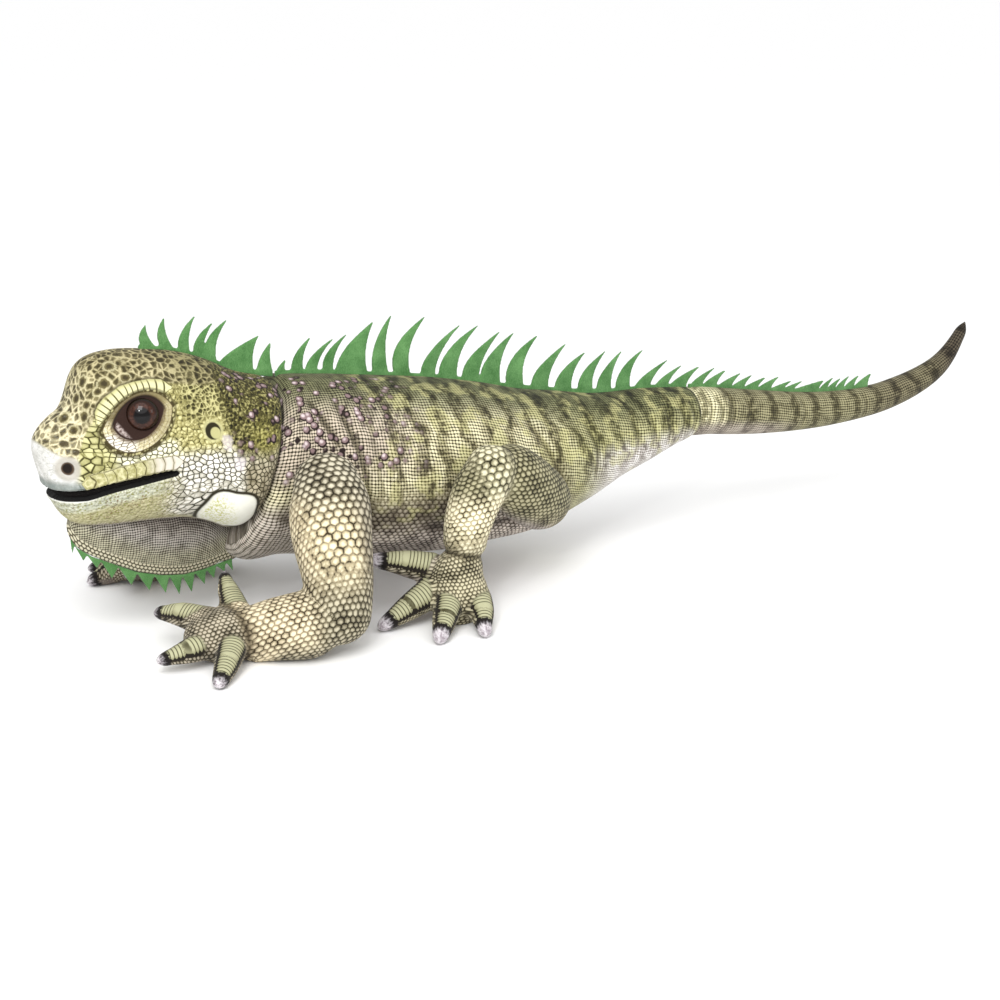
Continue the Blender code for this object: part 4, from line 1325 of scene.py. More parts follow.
@dataclass
class Skin:
    """A sewn, stuffed and printed skin.

    Its tube, the stuffing's push, the furthest that it may move the cloth, in millimetres, how
    often the skin is rounded off, how tight it is, its slot and the solids that it stands for.
    How tight it is and its slot are not used.
    """

    name: str
    run: Run
    pressure: float
    cap: float
    levels: int
    fill: float
    slot: str
    nodes: tuple[str, ...]

    def build(self) -> None:
        """Sews, stuffs, shapes and prints the skin."""
        piece, held = self.run.sew(self.name)
        fill_out(piece, held, self.pressure, self.cap)
        subdivide(piece, self.levels)
        self.shape(piece)
        own = placed(piece)
        self.paint(piece, own, *own.T)
        dress(piece, self.cloth())
        hand_in(piece, self.nodes)

    def shape(self, piece: bpy.types.Object) -> None:
        """Presses and pulls the stuffed skin into its features."""

    def paint(self, piece: bpy.types.Object, own: Points, x: Points, y: Points, z: Points) -> None:
        """Lays out the print's zones.

        Args:
            piece: The shaped skin.
            own: The places of its vertices.
            x: How far back each one is.
            y: How far to the right.
            z: How high.
        """
        raise NotImplementedError

    def cloth(self) -> bpy.types.Material:
        """Draws the print."""
        raise NotImplementedError


def along_x(x: Points, rows: Sequence[Row], column: int) -> Points:
    """One column of a table whose first column is x, read at each x."""
    return np.interp(x, [row[0] for row in rows], [row[column] for row in rows])


def one_sided(own: Points) -> Points:
    """The same places with both halves of the toy laid on its right side."""
    return np.column_stack([own[:, 0], np.abs(own[:, 1]), own[:, 2]])


@dataclass
class HeadSkin(Skin):
    """The head's printed skin: the brow, the eye sockets, the lips and the nostrils."""

    brow_rise: float = 2.6
    socket_depth: float = 3.0
    slot_depth: float = 6.5
    nostril_depth: float = 2.6
    pit_depth: float = 0.5

    def shape(self, piece: bpy.types.Object) -> None:
        """Presses and pulls the stuffed head into its features."""
        own = placed(piece)
        aside = one_sided(own)

        def away(place: Sequence[float]) -> Points:
            """How far each vertex lies from a place, on either side of the head."""
            return np.linalg.norm(aside - np.array(place), axis=1)

        brow, _ = near_line(own[:, [0, 2]], BROW_LINE)
        push = self.brow_rise * fall(brow, 4.2) * rising(aside[:, 1], 18, 30)
        eye = away(EYE_CENTRE)
        push -= self.socket_depth * fall(eye, EYE_RADIUS)
        push += 1.4 * fall(eye - 17.5, 3.0) * (aside[:, 2] < 180)
        push += self.lips(own)
        nostril = np.linalg.norm((aside - np.array(NOSTRIL)) / np.array([3.8, 4.2, 3.4]), axis=1)
        push -= self.nostril_depth * fall(nostril, 1.0)
        push += 0.7 * fall(nostril - 2.0, 0.7)
        push -= 1.0 * fall(away(EAR), 5.0)
        push += 1.3 * fall(away(SHIELD_MIDDLE), 15.0)
        for pit in PITS:
            push -= self.pit_depth * fall(away(pit), 2.2)
        push_out(piece, push)

    def lips(self, own: Points) -> Points:
        """How far the mouth's slot goes in and its lips stand out."""
        x = own[:, 0]
        half = np.where(x > MOUTH_LINE[-1][0], 0.0, along_x(x, MOUTH_LINE, 2) / 2)
        gap = np.abs(own[:, 2] - along_x(x, MOUTH_LINE, 1) + 0.3)
        inside = falling(gap, half - 0.2, half + 1.1)
        lip = 0.7 * fall(gap - half - 3.0, 1.8)
        return (lip - self.slot_depth * inside) * falling(x, -311, -303)

    def paint(self, piece: bpy.types.Object, own: Points, x: Points, y: Points, z: Points) -> None:
        """Lays out the head's print."""
        side, flat = np.abs(y), own[:, [0, 2]]
        painter = Painter(piece, CHEEK, Pattern.FINE)
        zone = painter.zone
        mouth = along_x(x, MOUTH_LINE, 1)
        crown = rising(z - along_x(x, CROWN_EDGE, 1), -1.6, 1.6)
        neck = rising(x - along_x(z, [spot[::-1] for spot in NECK_EDGE[::-1]], 1), -3, 4)
        outer = rising(side, 20, 32)
        labial, run = near_line(flat, LABIAL_LINE)
        below = falling(z - mouth, -2.5, 0.5)
        jowl = rising(x, -326, -298) * falling(z, 146, 160) * outer
        shield = shield_reach(flat)
        zone(np.full(len(own), 0.45), CHEEK, Pattern.SMALL_CELLS)
        zone(between(x, -376, -348, 4) * between(z, mouth + 4, 184, 4), LOREAL, Pattern.SMALL_CELLS)
        zone(between(x, -376, -358, 4) * between(z, mouth + 8, 158, 4), LOREAL, Pattern.CELLS)
        zone(between(x, -350, -306, 4) * between(z, mouth + 10, 164, 4), WHITE_CELLS,
             Pattern.SMALL_CELLS)
        zone(rising(x, -306, -292) * rising(z, 170, 184), OLIVE, Pattern.SMALL_HOLLOWS)
        zone(crown, FOREHEAD, Pattern.HOLLOWS)
        # painted shade on the top of the crown
        zone(crown * rising(z, 206, 218) * 0.9, CROWN_TOP_PAINTED_SHADE)
        zone(crown * rising(x, -318, -284) * 0.85, CROWN_REAR)
        zone(crown * falling(x, -374, -360), SNOUT_TOP)
        zone(falling(x, -379, -373) * (1 - crown), NOSE, Pattern.CLOUDS)
        zone(between(x, -396, -370, 3) * between(z, 128, 137, 3), NOSE_BLUE)
        zone(falling(labial, 5.4, 6.4) * between(x, -370, -306, 3), LABIAL, Pattern.CLOUDS)
        zone(below, JAW, Pattern.CLOUDS)
        zone(below * 0.5, JAW, Pattern.FINE)
        zone(below * between(z - mouth, -15, 0, 3) * falling(x, -330, -300), LIP_MINT)
        zone(jowl, JOWL, Pattern.SMALL_CELLS)
        zone(jowl * rising(x, -306, -290) * falling(z, 116, 134), JOWL, Pattern.CELLS)
        zone(falling(side, 14, 26) * below * falling(z, 96, 104), THROAT, Pattern.GRID)
        zone(neck * rising(z, 138, 156), MOSS, Pattern.SMALL_HOLLOWS)
        zone(neck * rising(z, 138, 156) * 0.5, MOSS, Pattern.FINE)
        zone(fall(np.hypot(x + 237, z - 152), 15) * outer * 0.85, NECK_GREEN)
        zone(neck * falling(z, 134, 154) * outer, NECK_LOW, Pattern.SMALL_CELLS)
        zone(falling(shield, 0.9, 1.0) * (side > 20), SHIELD, Pattern.CLOUDS)
        painter.lay()
        brow, along = near_line(flat, BROW_LINE)
        taper = np.clip(np.minimum(along * 4.2, (1 - along) * 16.0), 0.12, 1) ** 0.6
        ends = 6 * (rising(-x, 370, 375) + rising(x, -310, -300))
        behind = rising(x, -382, -362)
        seam, _ = near_line(flat, ((-206, 192.5), (-251, 76)))
        for name, values in {
            "brow_off": np.where(side > 14, brow / taper, 60.0),
            "brow_run": along * BROW_LENGTH,
            "labial_off": np.where(side > 14, labial + ends, 60.0),
            "labial_run": run * LABIAL_LENGTH,
            "mouth_off": np.abs(z - mouth + 1.5 - 0.7 * behind) - along_x(x, MOUTH_LINE, 2) / 2
            - 0.8 * behind + 6 * rising(x, -308, -301),
            "under_mouth": mouth - z,
            "shield_off": shield,
            # painted shade in the fold where the head is sewn to the neck
            "crease": falling(seam, 1.0, 5.0),
            "pit_off": self.pit_reach(own),
            "jaw": below * falling(x, -316, -296) * between(z - mouth, -40, -4, 2),
            "warts": neck * rising(x, -268, -254) * rising(z, 136, 150),
        }.items():
            add_value(piece, name, values)

    def pit_reach(self, own: Points) -> Points:
        """How far each place lies from the nearest pit of the crown, counted in its own size."""
        gaps = [np.linalg.norm(one_sided(own) - np.array(pit), axis=1) / (4.4 - 0.35 * (number % 4))
                for number, pit in enumerate(PITS)]
        return np.minimum(np.min(gaps, axis=0), 9.0)

    def cloth(self) -> bpy.types.Material:
        """Draws the head's print, one part over another, with painted shade along the seam behind it.
        """
        made = HeadPrint("head_print")
        made.sheet = made.joined(made.x - made.side * 0.45, made.z)
        # the print is darkened by painted shade along the seam
        made.draw(Pattern.HOLLOWS, Pattern.SMALL_HOLLOWS, Pattern.FINE, Pattern.CELLS,
                  Pattern.SMALL_CELLS, Pattern.GRID, Pattern.CLOUDS, shade=made.marked("crease") * 0.9)
        for part in (made.pits, made.brow, made.labials, made.shield, made.lids, made.specks,
                     made.spots, made.lip_edges, made.warts):
            part()
        return made.close()


def lumps(piece: bpy.types.Object, height: float) -> None:
    """Lets the stuffing swell and sink a little under the skin, in waves a few fingers wide."""
    x, y, z = placed(piece).T
    swell = np.sin(x / 13 + 0.6 * np.sin(z / 17)) * np.sin(z / 15 + y / 19 + 0.8)
    swell += 0.6 * np.sin(x / 23 + y / 11 + 2.0) * np.sin(z / 21 + 1.1)
    push_out(piece, swell * height * 0.6)


def creases(piece: bpy.types.Object, lines: Sequence[tuple[Line, float, float]],
            least_side: float = 0.0) -> None:
    """Draws the cloth in along lines on the toy's sides, as a seam or a fold does, and marks painted
    shade that darkens the print in each fold.

    Args:
        piece: The stuffed skin.
        lines: Each line with its depth and its width, in millimetres.
        least_side: How far from the middle plane the lines begin.
    """
    own = placed(piece)
    push, painted_shade = np.zeros((2, len(own)))
    aside = rising(np.abs(own[:, 1]), least_side, least_side + 8)
    for line, depth, width in lines:
        away, along = near_line(own[:, [0, 2]], line)
        faded = np.clip(np.minimum(along, 1 - along) * 5 + 0.15, 0, 1) * aside
        push -= depth * fall(away, width) * faded
        push += depth * 0.3 * fall(away - width * 2.2, width * 1.1) * faded
        # painted shade: how far the print is darkened in the fold
        painted_shade = np.maximum(painted_shade, min(1.0, depth / 1.6) * fall(away, width * 0.6) * faded)
    push_out(piece, push)
    add_value(piece, "crease", painted_shade)


@dataclass
class BodySkin(Skin):
    """The neck and the trunk in one printed skin."""

    band_step: float = 22.0

    def shape(self, piece: bpy.types.Object) -> None:
        """Presses in the folds by the shoulder, the hip and along the flank."""
        lumps(piece, 1.1)
        creases(piece, BODY_FOLDS, 12)

    def paint(self, piece: bpy.types.Object, own: Points, x: Points, y: Points, z: Points) -> None:
        """Lays out the body's print."""
        painter = Painter(piece, MIDDLE_TRUNK, Pattern.GRID)
        zone = painter.zone
        down = along_x(x, BODY_SECTIONS, 1) - z
        zone(falling(z, 84, 112) * falling(x, 10, 60), FLANK, Pattern.SMALL_SCALES)
        zone(falling(z, 58, 82) * falling(x, 40, 90), BELLY)
        zone(rising(x, 0, 60), REAR, Pattern.GRID)
        zone(rising(x, 40, 100) * falling(z, 92, 112), REAR_LOW)
        zone(falling(x, -150, -90) * rising(z, 104, 134), FRONT_TRUNK)
        zone(falling(down, 4, 32) * 0.95, UPPER_TRUNK)
        zone(falling(x, -196, -170) * falling(z, 88, 112), THROAT, Pattern.GRID)
        painter.lay()
        add_value(piece, "warts", falling(x, -150, -92) * rising(z, 112, 132)
                  * rising(np.abs(y), 4, 14))
        add_value(piece, "bands", rising(x, -170, -130) * rising(z, 62, 96))

    def cloth(self) -> bpy.types.Material:
        """Draws the body's print, with its wavy dark bands, green patches and painted shade in its
        folds.
        """
        made = Print("body_print")
        along, around, _ = made.parts(made.cloth)
        lean = made.x.rise(0, 120) * 0.22
        wave = (along + made.noise(made.cloth, 30, 3.0, 0.6) * 40 - around * lean) / self.band_step
        band = abs(wave.wrapped(1) - 0.5).drop(0.06, 0.38)
        broken = made.noise(made.cloth, 9, 3.0, 0.65).rise(0.36, 0.6)
        marked = made.marked("bands")
        # the print's dark bands, and painted shade in the folds
        shade = (band * broken * marked * 0.85).most(made.marked("crease") * 0.8)
        made.draw(Pattern.GRID, Pattern.SMALL_SCALES, shade=shade)
        patch = made.noise(made.cloth, 17, 2.0).rise(0.5, 0.6) * marked
        made.lay(made.mix((92, 86, 42), (216, 212, 150), made.tone.rise(-0.1, 0.7)),
                 patch * (1 - shade) * 0.6)
        made.warts()
        return made.close()


@dataclass
class TailSkin(Skin):
    """The tail in one printed skin, drawn in where it is sewn to the body."""

    band_step: float = 27.0

    def shape(self, piece: bpy.types.Object) -> None:
        """Presses in the folds behind the seam."""
        creases(piece, TAIL_FOLDS)

    def paint(self, piece: bpy.types.Object, own: Points, x: Points, y: Points, z: Points) -> None:
        """Lays out the tail's print."""
        painter = Painter(piece, TAIL_BASE, Pattern.GRID)
        painter.zone(falling(x, 212, 242), TAIL_ROOT)
        painter.zone(falling(z - along_x(x, TAIL_LINE, 1), -14, -2) * falling(x, 270, 330), TAIL_UNDER)
        painter.zone(rising(x, 380, 450), TAIL_FAR)
        painter.zone(rising(x, 490, 525), TAIL_END)
        painter.lay()

    def cloth(self) -> bpy.types.Material:
        """Draws the tail's print, in speckled cross bands, with painted shade in its folds."""
        made = Print("tail_print")
        sway = made.noise(made.cloth, 24, 2.0) * 14
        wave = (made.parts(made.cloth)[0] + sway) / self.band_step
        band = abs(wave.wrapped(1) - 0.5).drop(0.06, 0.26)
        broken = made.noise(made.cloth, 6, 2.0).rise(0.3, 0.6)
        # the print's cross bands, and painted shade in the folds
        made.draw(Pattern.GRID, shade=(band * broken * 0.7).most(made.marked("crease") * 0.8))
        return made.close()


@dataclass
class DewlapSkin(Skin):
    """The bag of cloth under the jaw."""

    bead_step: float = 3.1

    def paint(self, piece: bpy.types.Object, own: Points, x: Points, y: Points, z: Points) -> None:
        """Lays out the dewlap's print, with painted shade under the jaw, and marks how far each place
        is from its keel.
        """
        over = z - along_x(x, DEWLAP_SECTIONS, 1)
        painter = Painter(piece, DEWLAP_LOW, Pattern.GRID)
        painter.zone(rising(over, 14, 32), DEWLAP_TOP)
        # painted shade on the dewlap's upper rear, under the jaw
        painter.zone(rising(over, 26, 46) * rising(x, -352, -318) * 0.9, DEWLAP_PAINTED_SHADE)
        painter.lay()
        add_value(piece, "over_keel", over)

    def cloth(self) -> bpy.types.Material:
        """Draws the dewlap's print, with rows of beads along its keel."""
        made = Print("dewlap_print", pitch=1.9)
        made.draw(Pattern.GRID)
        over = made.marked("over_keel")
        row = over / self.bead_step
        step = (made.x / self.bead_step + made.maths("FLOOR", row) * 0.5).wrapped(1) - 0.5
        rise = row.wrapped(1) - 0.5
        bead = (step * step + rise * rise).root().drop(0.3, 0.46)
        made.lay(made.mix((92, 86, 66), (226, 219, 190), bead), over.drop(7.5, 9.5))
        return made.close()


def skins() -> list[Skin]:
    """The head, the body, the tail and the dewlap."""
    hanging = [(x + 2, root + 9, x, keel, half, 0.5) for x, keel, root, half in DEWLAP_SECTIONS]
    head = Run(HEAD_SECTIONS, 72, 52, front_pole=NOSE_TIP, tuck_back=0.12, tuck_reach=15)
    body = Run(BODY_SECTIONS, 72, 110, tuck_front=0.10, tuck_back=0.05)
    tail = Run(tail_sections(), 48, 110, back_pole=TAIL_TIP, tuck_front=0.08)
    dewlap = Run(hanging, 48, 60, front_pole=(-377.0, 97.0), back_pole=(-241.0, 58.2), keel=0.28)
    return [
        HeadSkin("head_skin", head, 3.0, 1.6, 2, 0.8, "body_plush", ("head",)),
        BodySkin("body_skin", body, 3.0, 2.2, 1, 0.75, "body_plush", ("neck", "trunk")),
        TailSkin("tail_skin", tail, 3.0, 1.2, 1, 0.8, "tail_plush",
                 ("tail_base", "tail_middle", "tail_tip")),
        DewlapSkin("dewlap_skin", dewlap, 2.0, 1.0, 1, 0.5, "dewlap_plush", ("dewlap",)),
    ]


@dataclass
class Tube:
    """One stuffed tube of a limb: rows of (x, y, z, radius) with y already on its side."""

    line: Points
    flat: float = 1.0
    point: float = 1.0
    reach: float = 0.9

    def sew(self, sides: int = 28, rings: int = 30) -> bpy.types.Object:
        """Makes the tube with round ends.

        Args:
            sides: Columns round it.
            rings: Rows along it.

        Returns:
            The tube.
        """
        piece, row, angle = ball_of_cloth("tube", sides, rings)
        line = self.line
        steps = np.linalg.norm(np.diff(line[:, :3], axis=0), axis=1)
        reach = np.concatenate([[0.0], np.cumsum(steps)])
        caps = END_ROWS
        share = np.clip((row - caps) / (rings - 2 * caps), 0, 1) * reach[-1]
        at = np.interp(share, reach, np.arange(len(line)))
        place = through(line, at)
        ahead = through(line, at + 0.05) - through(line, at - 0.05)
        ahead = ahead[:, :3] / np.linalg.norm(ahead[:, :3], axis=1)[:, None]
        front = np.clip(1 - row / caps, 0, 1) * math.pi / 2
        back = np.clip(1 - (rings - row) / caps, 0, 1) * math.pi / 2
        radius = place[:, 3] * np.cos(front) * np.maximum(np.cos(back), 0) ** self.point
        lift = place[:, 3] * (self.reach * np.sin(back) - 0.9 * np.sin(front))
        aside, over = carried(ahead, row.astype(int))
        spokes = aside * np.cos(angle)[:, None] + over * self.flat * np.sin(angle)[:, None]
        points = place[:, :3] + ahead * lift[:, None] + spokes * radius[:, None]
        set_down(piece, points)
        face_out(piece)
        return piece


def carried(ahead: Points, row: Points) -> tuple[Points, Points]:
    """Two directions square to each row's way, carried from row to row without a twist.

    Args:
        ahead: Which way each vertex's row looks.
        row: The row of each vertex.

    Returns:
        The direction aside and the direction over, for each vertex.
    """
    first = [int(np.argmax(row == number)) for number in range(row.max() + 1)]
    ways = ahead[first]
    side = np.cross(ways[0], (0.0, 0.0, 1.0))
    if np.linalg.norm(side) < 0.5:
        side = np.cross(ways[0], (0.0, 1.0, 0.0))
    sides = []
    for way in ways:
        side = side - way * (side @ way)
        side /= np.linalg.norm(side)
        sides.append(side)
    aside = np.array(sides)
    return aside[row], np.cross(aside, ways)[row]


class Side(Enum):
    """Which side of the body a limb is on."""

    LEFT = -1
    RIGHT = 1


class LimbKind(Enum):
    """Which pair of limbs a limb belongs to."""

    ARM = "arm"
    LEG = "leg"


@dataclass
class Limb:
    """An arm or a leg in one skin: its tubes, its paw and its four digits."""

    kind: LimbKind
    side: Side
    upper: Sequence[Row]
    lower: Sequence[Row]
    paw: Sequence[Row]
    digits: Sequence[Sequence[Row]]
    radii: Row
    voxel: float = 2.2
    lumps: float = 0.9

    @property
    def name(self) -> str:
        """The piece's name."""
        return f"{self.kind.value}_{self.side.name.lower()}"

    def nodes(self) -> list[str]:
        """The solids that the limb stands for."""
        names, digit = (("upper_arm", "forearm", "hand"), "finger") if self.is_arm else (
            ("thigh", "shin", "foot"), "toe")
        ends = (*names, *(f"{digit}_{number}" for number in range(1, 5)))
        return [f"{self.side.name.lower()}_{end}" for end in ends]

    @property
    def is_arm(self) -> bool:
        """Whether the limb is an arm."""
        return self.kind is LimbKind.ARM

    def lines(self) -> tuple[list[Points], list[Points]]:
        """The limb's bones and its digits, on its own side of the body."""
        turn = np.array([1.0, self.side.value, 1.0, 1.0])
        fingers = [np.column_stack([rows, self.radii]) for rows in self.digits]
        bones = (self.upper, self.lower, self.paw)
        return [np.array(rows, float) * turn for rows in bones], [rows * turn for rows in fingers]

    def build(self) -> None:
        """Sews the tubes together, stuffs them and prints the skin."""
        bones, digits = self.lines()
        flats = (1.0, 1.0, FLAT_PALM if self.is_arm else 1.0)
        tubes = [Tube(line, flat).sew() for line, flat in zip(bones, flats)]
        tubes += [Tube(line, 1.0, 1.15, 1.75).sew(20, 34) for line in digits]
        clear_selection()
        for tube in tubes:
            tube.select_set(True)
        piece = bpy.context.view_layer.objects.active = tubes[0]
        bpy.ops.object.join()
        piece.name = piece.data.name = self.name
        felt_together(piece, self.voxel, 6)
        fill_out(piece, np.zeros(len(piece.data.vertices)), pressure=2.5, cap=0.8)
        subdivide(piece, 1)
        lumps(piece, self.lumps)
        points = corners(piece)
        points[:, 2] = np.maximum(points[:, 2], 0.0)
        move_corners(piece, points)
        creases(piece, [(self.joint_line(), 1.5, 3.4)])
        self.measure(piece, bones, digits)
        dress(piece, self.cloth())
        hand_in(piece, self.nodes())

    def joint_line(self) -> Line:
        """Where the wrist or the ankle is drawn in, as seen from the side."""
        x, _, z, _ = self.paw[0]
        if self.is_arm:
            return (x - 19, z + 26), (x - 16, z - 40)
        return (x - 34, z + 10), (x + 34, z - 4)

    def measure(self, piece: bpy.types.Object, bones: list[Points], digits: list[Points]) -> None:
        """Lays the limb's map and marks its zones."""
        own = placed(piece)
        spine = np.vstack(bones)
        gap, _, up, _ = from_line(own, spine, self.side.value)
        add_map(piece, self.panels(own, spine))
        rows = [from_line(own, line, self.side.value) for line in digits]
        away, tip, top, across = nearest(*zip(*rows))
        add_value(piece, "digit", rising(gap - away, 1.0, 5.0))
        add_value(piece, "from_tip", tip + (16.5 if self.is_arm else 12.5))
        add_value(piece, "top", top)
        add_value(piece, "across", across)
        self.paint(piece, own, up)

    def panels(self, own: Points, spine: Points) -> Points:
        """Where each place lies on the flat outer panel, or on its mirror twin inside the limb.

        Args:
            own: The places.
            spine: The limb's line.

        Returns:
            (u, v) on the panel, in millimetres.
        """
        outward = (-0.1, 0.75, 0.65) if self.is_arm else (0.25, 0.95, 0.15)
        facing = np.array(outward) * np.array([1, self.side.value, 1])
        facing /= np.linalg.norm(facing)
        right = np.cross(facing, np.array([0.0, 0.0, 1.0]))
        right /= np.linalg.norm(right)
        above = np.cross(right, facing)
        rows = [(away, spoke) for _, spoke, away in stretches(own, spine[:, :3])]
        away, spoke = nearest(*zip(*rows))
        flat = np.column_stack([spoke @ right, spoke @ above])
        width = np.linalg.norm(flat, axis=1)
        reach = away * np.arctan2(width, np.abs(spoke @ facing))
        foot = own - spoke
        middle = np.column_stack([foot @ right, foot @ above])
        return middle + flat / np.maximum(width, 1e-6)[:, None] * reach[:, None]

    def paint(self, piece: bpy.types.Object, own: Points, up: Points) -> None:
        """Lays out the limb's print."""
        x, _, z = own.T
        out = own[:, 1] * self.side.value
        small, tiny = Pattern.SMALL_SCALES, Pattern.TINY_SCALES
        painter = Painter(piece, *((ARM_LIGHT, Pattern.SCALES) if self.is_arm else (THIGH, small)))
        zone = painter.zone
        if self.is_arm:
            zone(rising(x, -208, -190), ARM_REAR)
            zone(rising(z, 98, 130), SHOULDER)
            zone(falling(x, -240, -228), FOREARM, small)
            zone(falling(z, 40, 92) * rising(x, -252, -226), ELBOW, small)
            zone(falling(z, 2, 26) * rising(x, -270, -256), ELBOW, small)
            zone(falling(x - self.paw[0][0], -25, -12), HAND, tiny)
        else:
            from_knee = x - self.lower[0][0]
            zone(falling(np.abs(from_knee + 6), 8, 21), KNEE, Pattern.SCALES)
            zone(falling(z, 90, 108) * falling(from_knee, -2, 11), SHIN, small)
            zone(falling(z, 48, 80), FOOT, tiny)
        zone(falling(up, -0.55, -0.1) * falling(out, 70, 96), LIMB_UNDER)
        painter.lay()

    def cloth(self) -> bpy.types.Material:
        """Draws the limb's print, with painted shade in the wrist or ankle crease and plated digits
        that end in a black band and a white tip.
        """
        made = Print(f"{self.name}_print")
        # painted shade in the crease at the wrist or ankle
        made.draw(Pattern.SCALES, Pattern.SMALL_SCALES, Pattern.TINY_SCALES,
                  shade=made.marked("crease") * 0.8)
        tip, top, mask = (made.marked(name) for name in ("from_tip", "top", "digit"))
        bent = tip + made.noise(made.at, 8, 1.0) * 0.4 + (1 - top) * 1.2
        zigzag = abs((bent / 2.8).wrapped(1) - 0.5)
        plates = made.mix((74, 70, 44), (196, 195, 158), zigzag.drop(0.22, 0.5))
        plates = made.mix(plates, (142, 138, 102), top.drop(0.66, 0.92) * 0.7)
        made.lay((34, 28, 20), (top + zigzag * 0.3).rise(0.38, 0.48) * mask)
        made.lay(plates, (top - zigzag * 0.36).rise(0.55, 0.63) * mask)
        made.lay((132, 120, 112), top.drop(-0.8, -0.5) * mask * 0.8)
        spokes = made.joined(top * 4, made.marked("across") * 4, tip * 0.1)
        fibre = made.noise(spokes, 1.0, 2.0, 0.6)
        edge = tip + fibre * 7.0
        white = made.mix((232, 226, 230), (142, 128, 136), fibre.rise(0.42, 0.7) * 0.8)
        made.lay((26, 20, 18), edge.drop(18.5, 20.5) * mask)
        made.lay(white, edge.drop(10.5, 16.5) * mask)
        return made.close()


def from_line(points: Points, line: Points, side: float) -> tuple[Points, ...]:
    """Measures places from a limb's line.

    Args:
        points: The places.
        line: Rows of (x, y, z, radius).
        side: -1 on the left of the body and 1 on the right.

    Returns:
        How far outside the line's tube each place is, how far short of the line's end, and its
        share up and its share sideways.
    """
    wanted = np.array([0.0, 0.6 * side, 0.8])
    length = np.linalg.norm(np.diff(line[:, :3], axis=0), axis=1)
    rows = []
    for number, (share, spoke, away) in enumerate(stretches(points, line[:, :3])):
        a, b = line[number], line[number + 1]
        ahead = (b - a)[:3] / length[number]
        up = wanted - ahead * (wanted @ ahead)
        up /= np.linalg.norm(up)
        flat = spoke / np.maximum(away, 1e-6)[:, None]
        last = number == len(length) - 1
        past = (points - a[:3]) @ ahead if last else share * length[number]
        rows.append((away - (a[3] + (b[3] - a[3]) * share), length[number:].sum() - past, flat @ up,
                     flat @ np.cross(ahead, up)))
    return tuple(nearest(*zip(*rows)))


@dataclass
class FeltStrip:
    """A strip of felt cut into blades or teeth and stood on edge."""

    name: str
    node: str
    outline: list[Spot]
    thickness: float = 2.8
    voxel: float = 0.85
    sway: float = 0.9

    def build(self) -> None:
        """Cuts, thickens and softens the strip."""
        piece = fresh(self.name, bpy.ops.mesh.primitive_circle_add, vertices=len(self.outline),
                      fill_type="NGON")
        set_down(piece, np.array([(x, -self.thickness / 2, z) for x, z in self.outline]))
        edit(piece, bpy.ops.mesh.extrude_region_move,
             TRANSFORM_OT_translate={"value": (0, self.thickness * MM, 0)})
        face_out(piece)
        felt_together(piece, self.voxel, 2)
        drop_crumbs(piece)
        self.bend(piece)
        dress(piece, self.felt())
        hand_in(piece, [self.node])

    def bend(self, piece: bpy.types.Object) -> None:
        """Lets the tips lean a little to one side and the other."""
        own = placed(piece)
        line = np.array(self.outline)
        low = np.interp(own[:, 0], *self.foot(line))
        height = np.abs(own[:, 2] - low)
        lean = np.sin(own[:, 0] * 0.11) + 0.6 * np.sin(own[:, 0] * 0.047 + 1.3)
        own[:, 1] += self.sway * lean * rising(height, 4, 36)
        set_down(piece, own)

    def foot(self, line: Points) -> tuple[Points, Points]:
        """The strip's sewn edge, as rising x and its z."""
        ends = np.argmin(line[:, 0]), np.argmax(line[:, 0])
        xs = np.linspace(line[ends[0], 0], line[ends[1], 0], 40)
        zs = [line[np.argsort(np.abs(line[:, 0] - x))[:4], 1].min() for x in xs]
        return xs, np.array(zs)

    def felt(self) -> bpy.types.Material:
        """Green wool felt: matted fibres over a slightly uneven dye."""
        recipe = Recipe(f"{self.name}_felt")
        at = recipe.place()
        x, y, z = recipe.parts(at)
        cloud = recipe.noise(at, 14, 2.0)
        stretched = recipe.joined(x * 2.2, y, z * 0.7)
        fibre = recipe.noise(stretched, 0.9, 3.0, 0.65)
        matted = recipe.noise(at, 0.55, 2.0, 0.6)
        tone = fibre * 0.6 + cloud * 0.4
        colour = recipe.blend(ink(52, 99, 45), ink(101, 147, 89), tone.rise(0.3, 0.72))
        return recipe.finish(colour, 0.95, fibre * 0.5 + matted * 0.5, 0.4, Sheen_Weight=0.3,
                             Sheen_Roughness=0.5, Specular_IOR_Level=0.15)


def crest_outline(blades: Sequence[Row], ridge: Callable[[float], float], start: float,
                  end: float) -> list[Spot]:
    """The outline of a strip of crest felt.

    Args:
        blades: (front of its foot, width of the foot, lean of the tip, height) of each blade.
        ridge: The height of the body's ridge at any x.
        start: Where the strip begins.
        end: Where it ends.

    Returns:
        The corners of the outline, in order.
    """
    clear = -2.2
    count = max(8, int((end - start) / 6))
    under = [start + (end - start) * i / count for i in range(count + 1)]
    outline = [(x, ridge(x) + clear) for x in reversed(under)]
    outline.append((start, ridge(start) + clear + STRIP_HEIGHT))
    for front, width, lean, height in blades:
        rear = front + width
        tip = (rear + lean, ridge(rear) + height)
        foot_front = (front, ridge(front) + clear + STRIP_HEIGHT)
        foot_rear = (rear, ridge(rear) + clear + STRIP_HEIGHT)
        bow = BLADE_BEND * height * (0.45 + 0.65 * min(1.0, abs(lean) / 14))
        outline += [foot_front, *bowed(foot_front, tip, bow), tip]
        outline += [*bowed(tip, foot_rear, bow * 0.62), foot_rear]
    outline.append((end, ridge(end) + clear + STRIP_HEIGHT))
    return spaced(outline, 0.4)


def bowed(start: Spot, end: Spot, bow: float, steps: int = 8) -> list[Spot]:
    """Points between two corners along an edge that bows forward."""
    points = []
    for step in range(1, steps):
        t = step / steps
        x = start[0] + (end[0] - start[0]) * t - bow * 4 * t * (1 - t)
        points.append((x, start[1] + (end[1] - start[1]) * t))
    return points


def spaced(outline: Sequence[Spot], least: float) -> list[Spot]:
    """The outline without corners that lie too near the one before."""
    kept = [outline[0]]
    for point in outline[1:]:
        if math.dist(point, kept[-1]) > least:
            kept.append(point)
    return kept


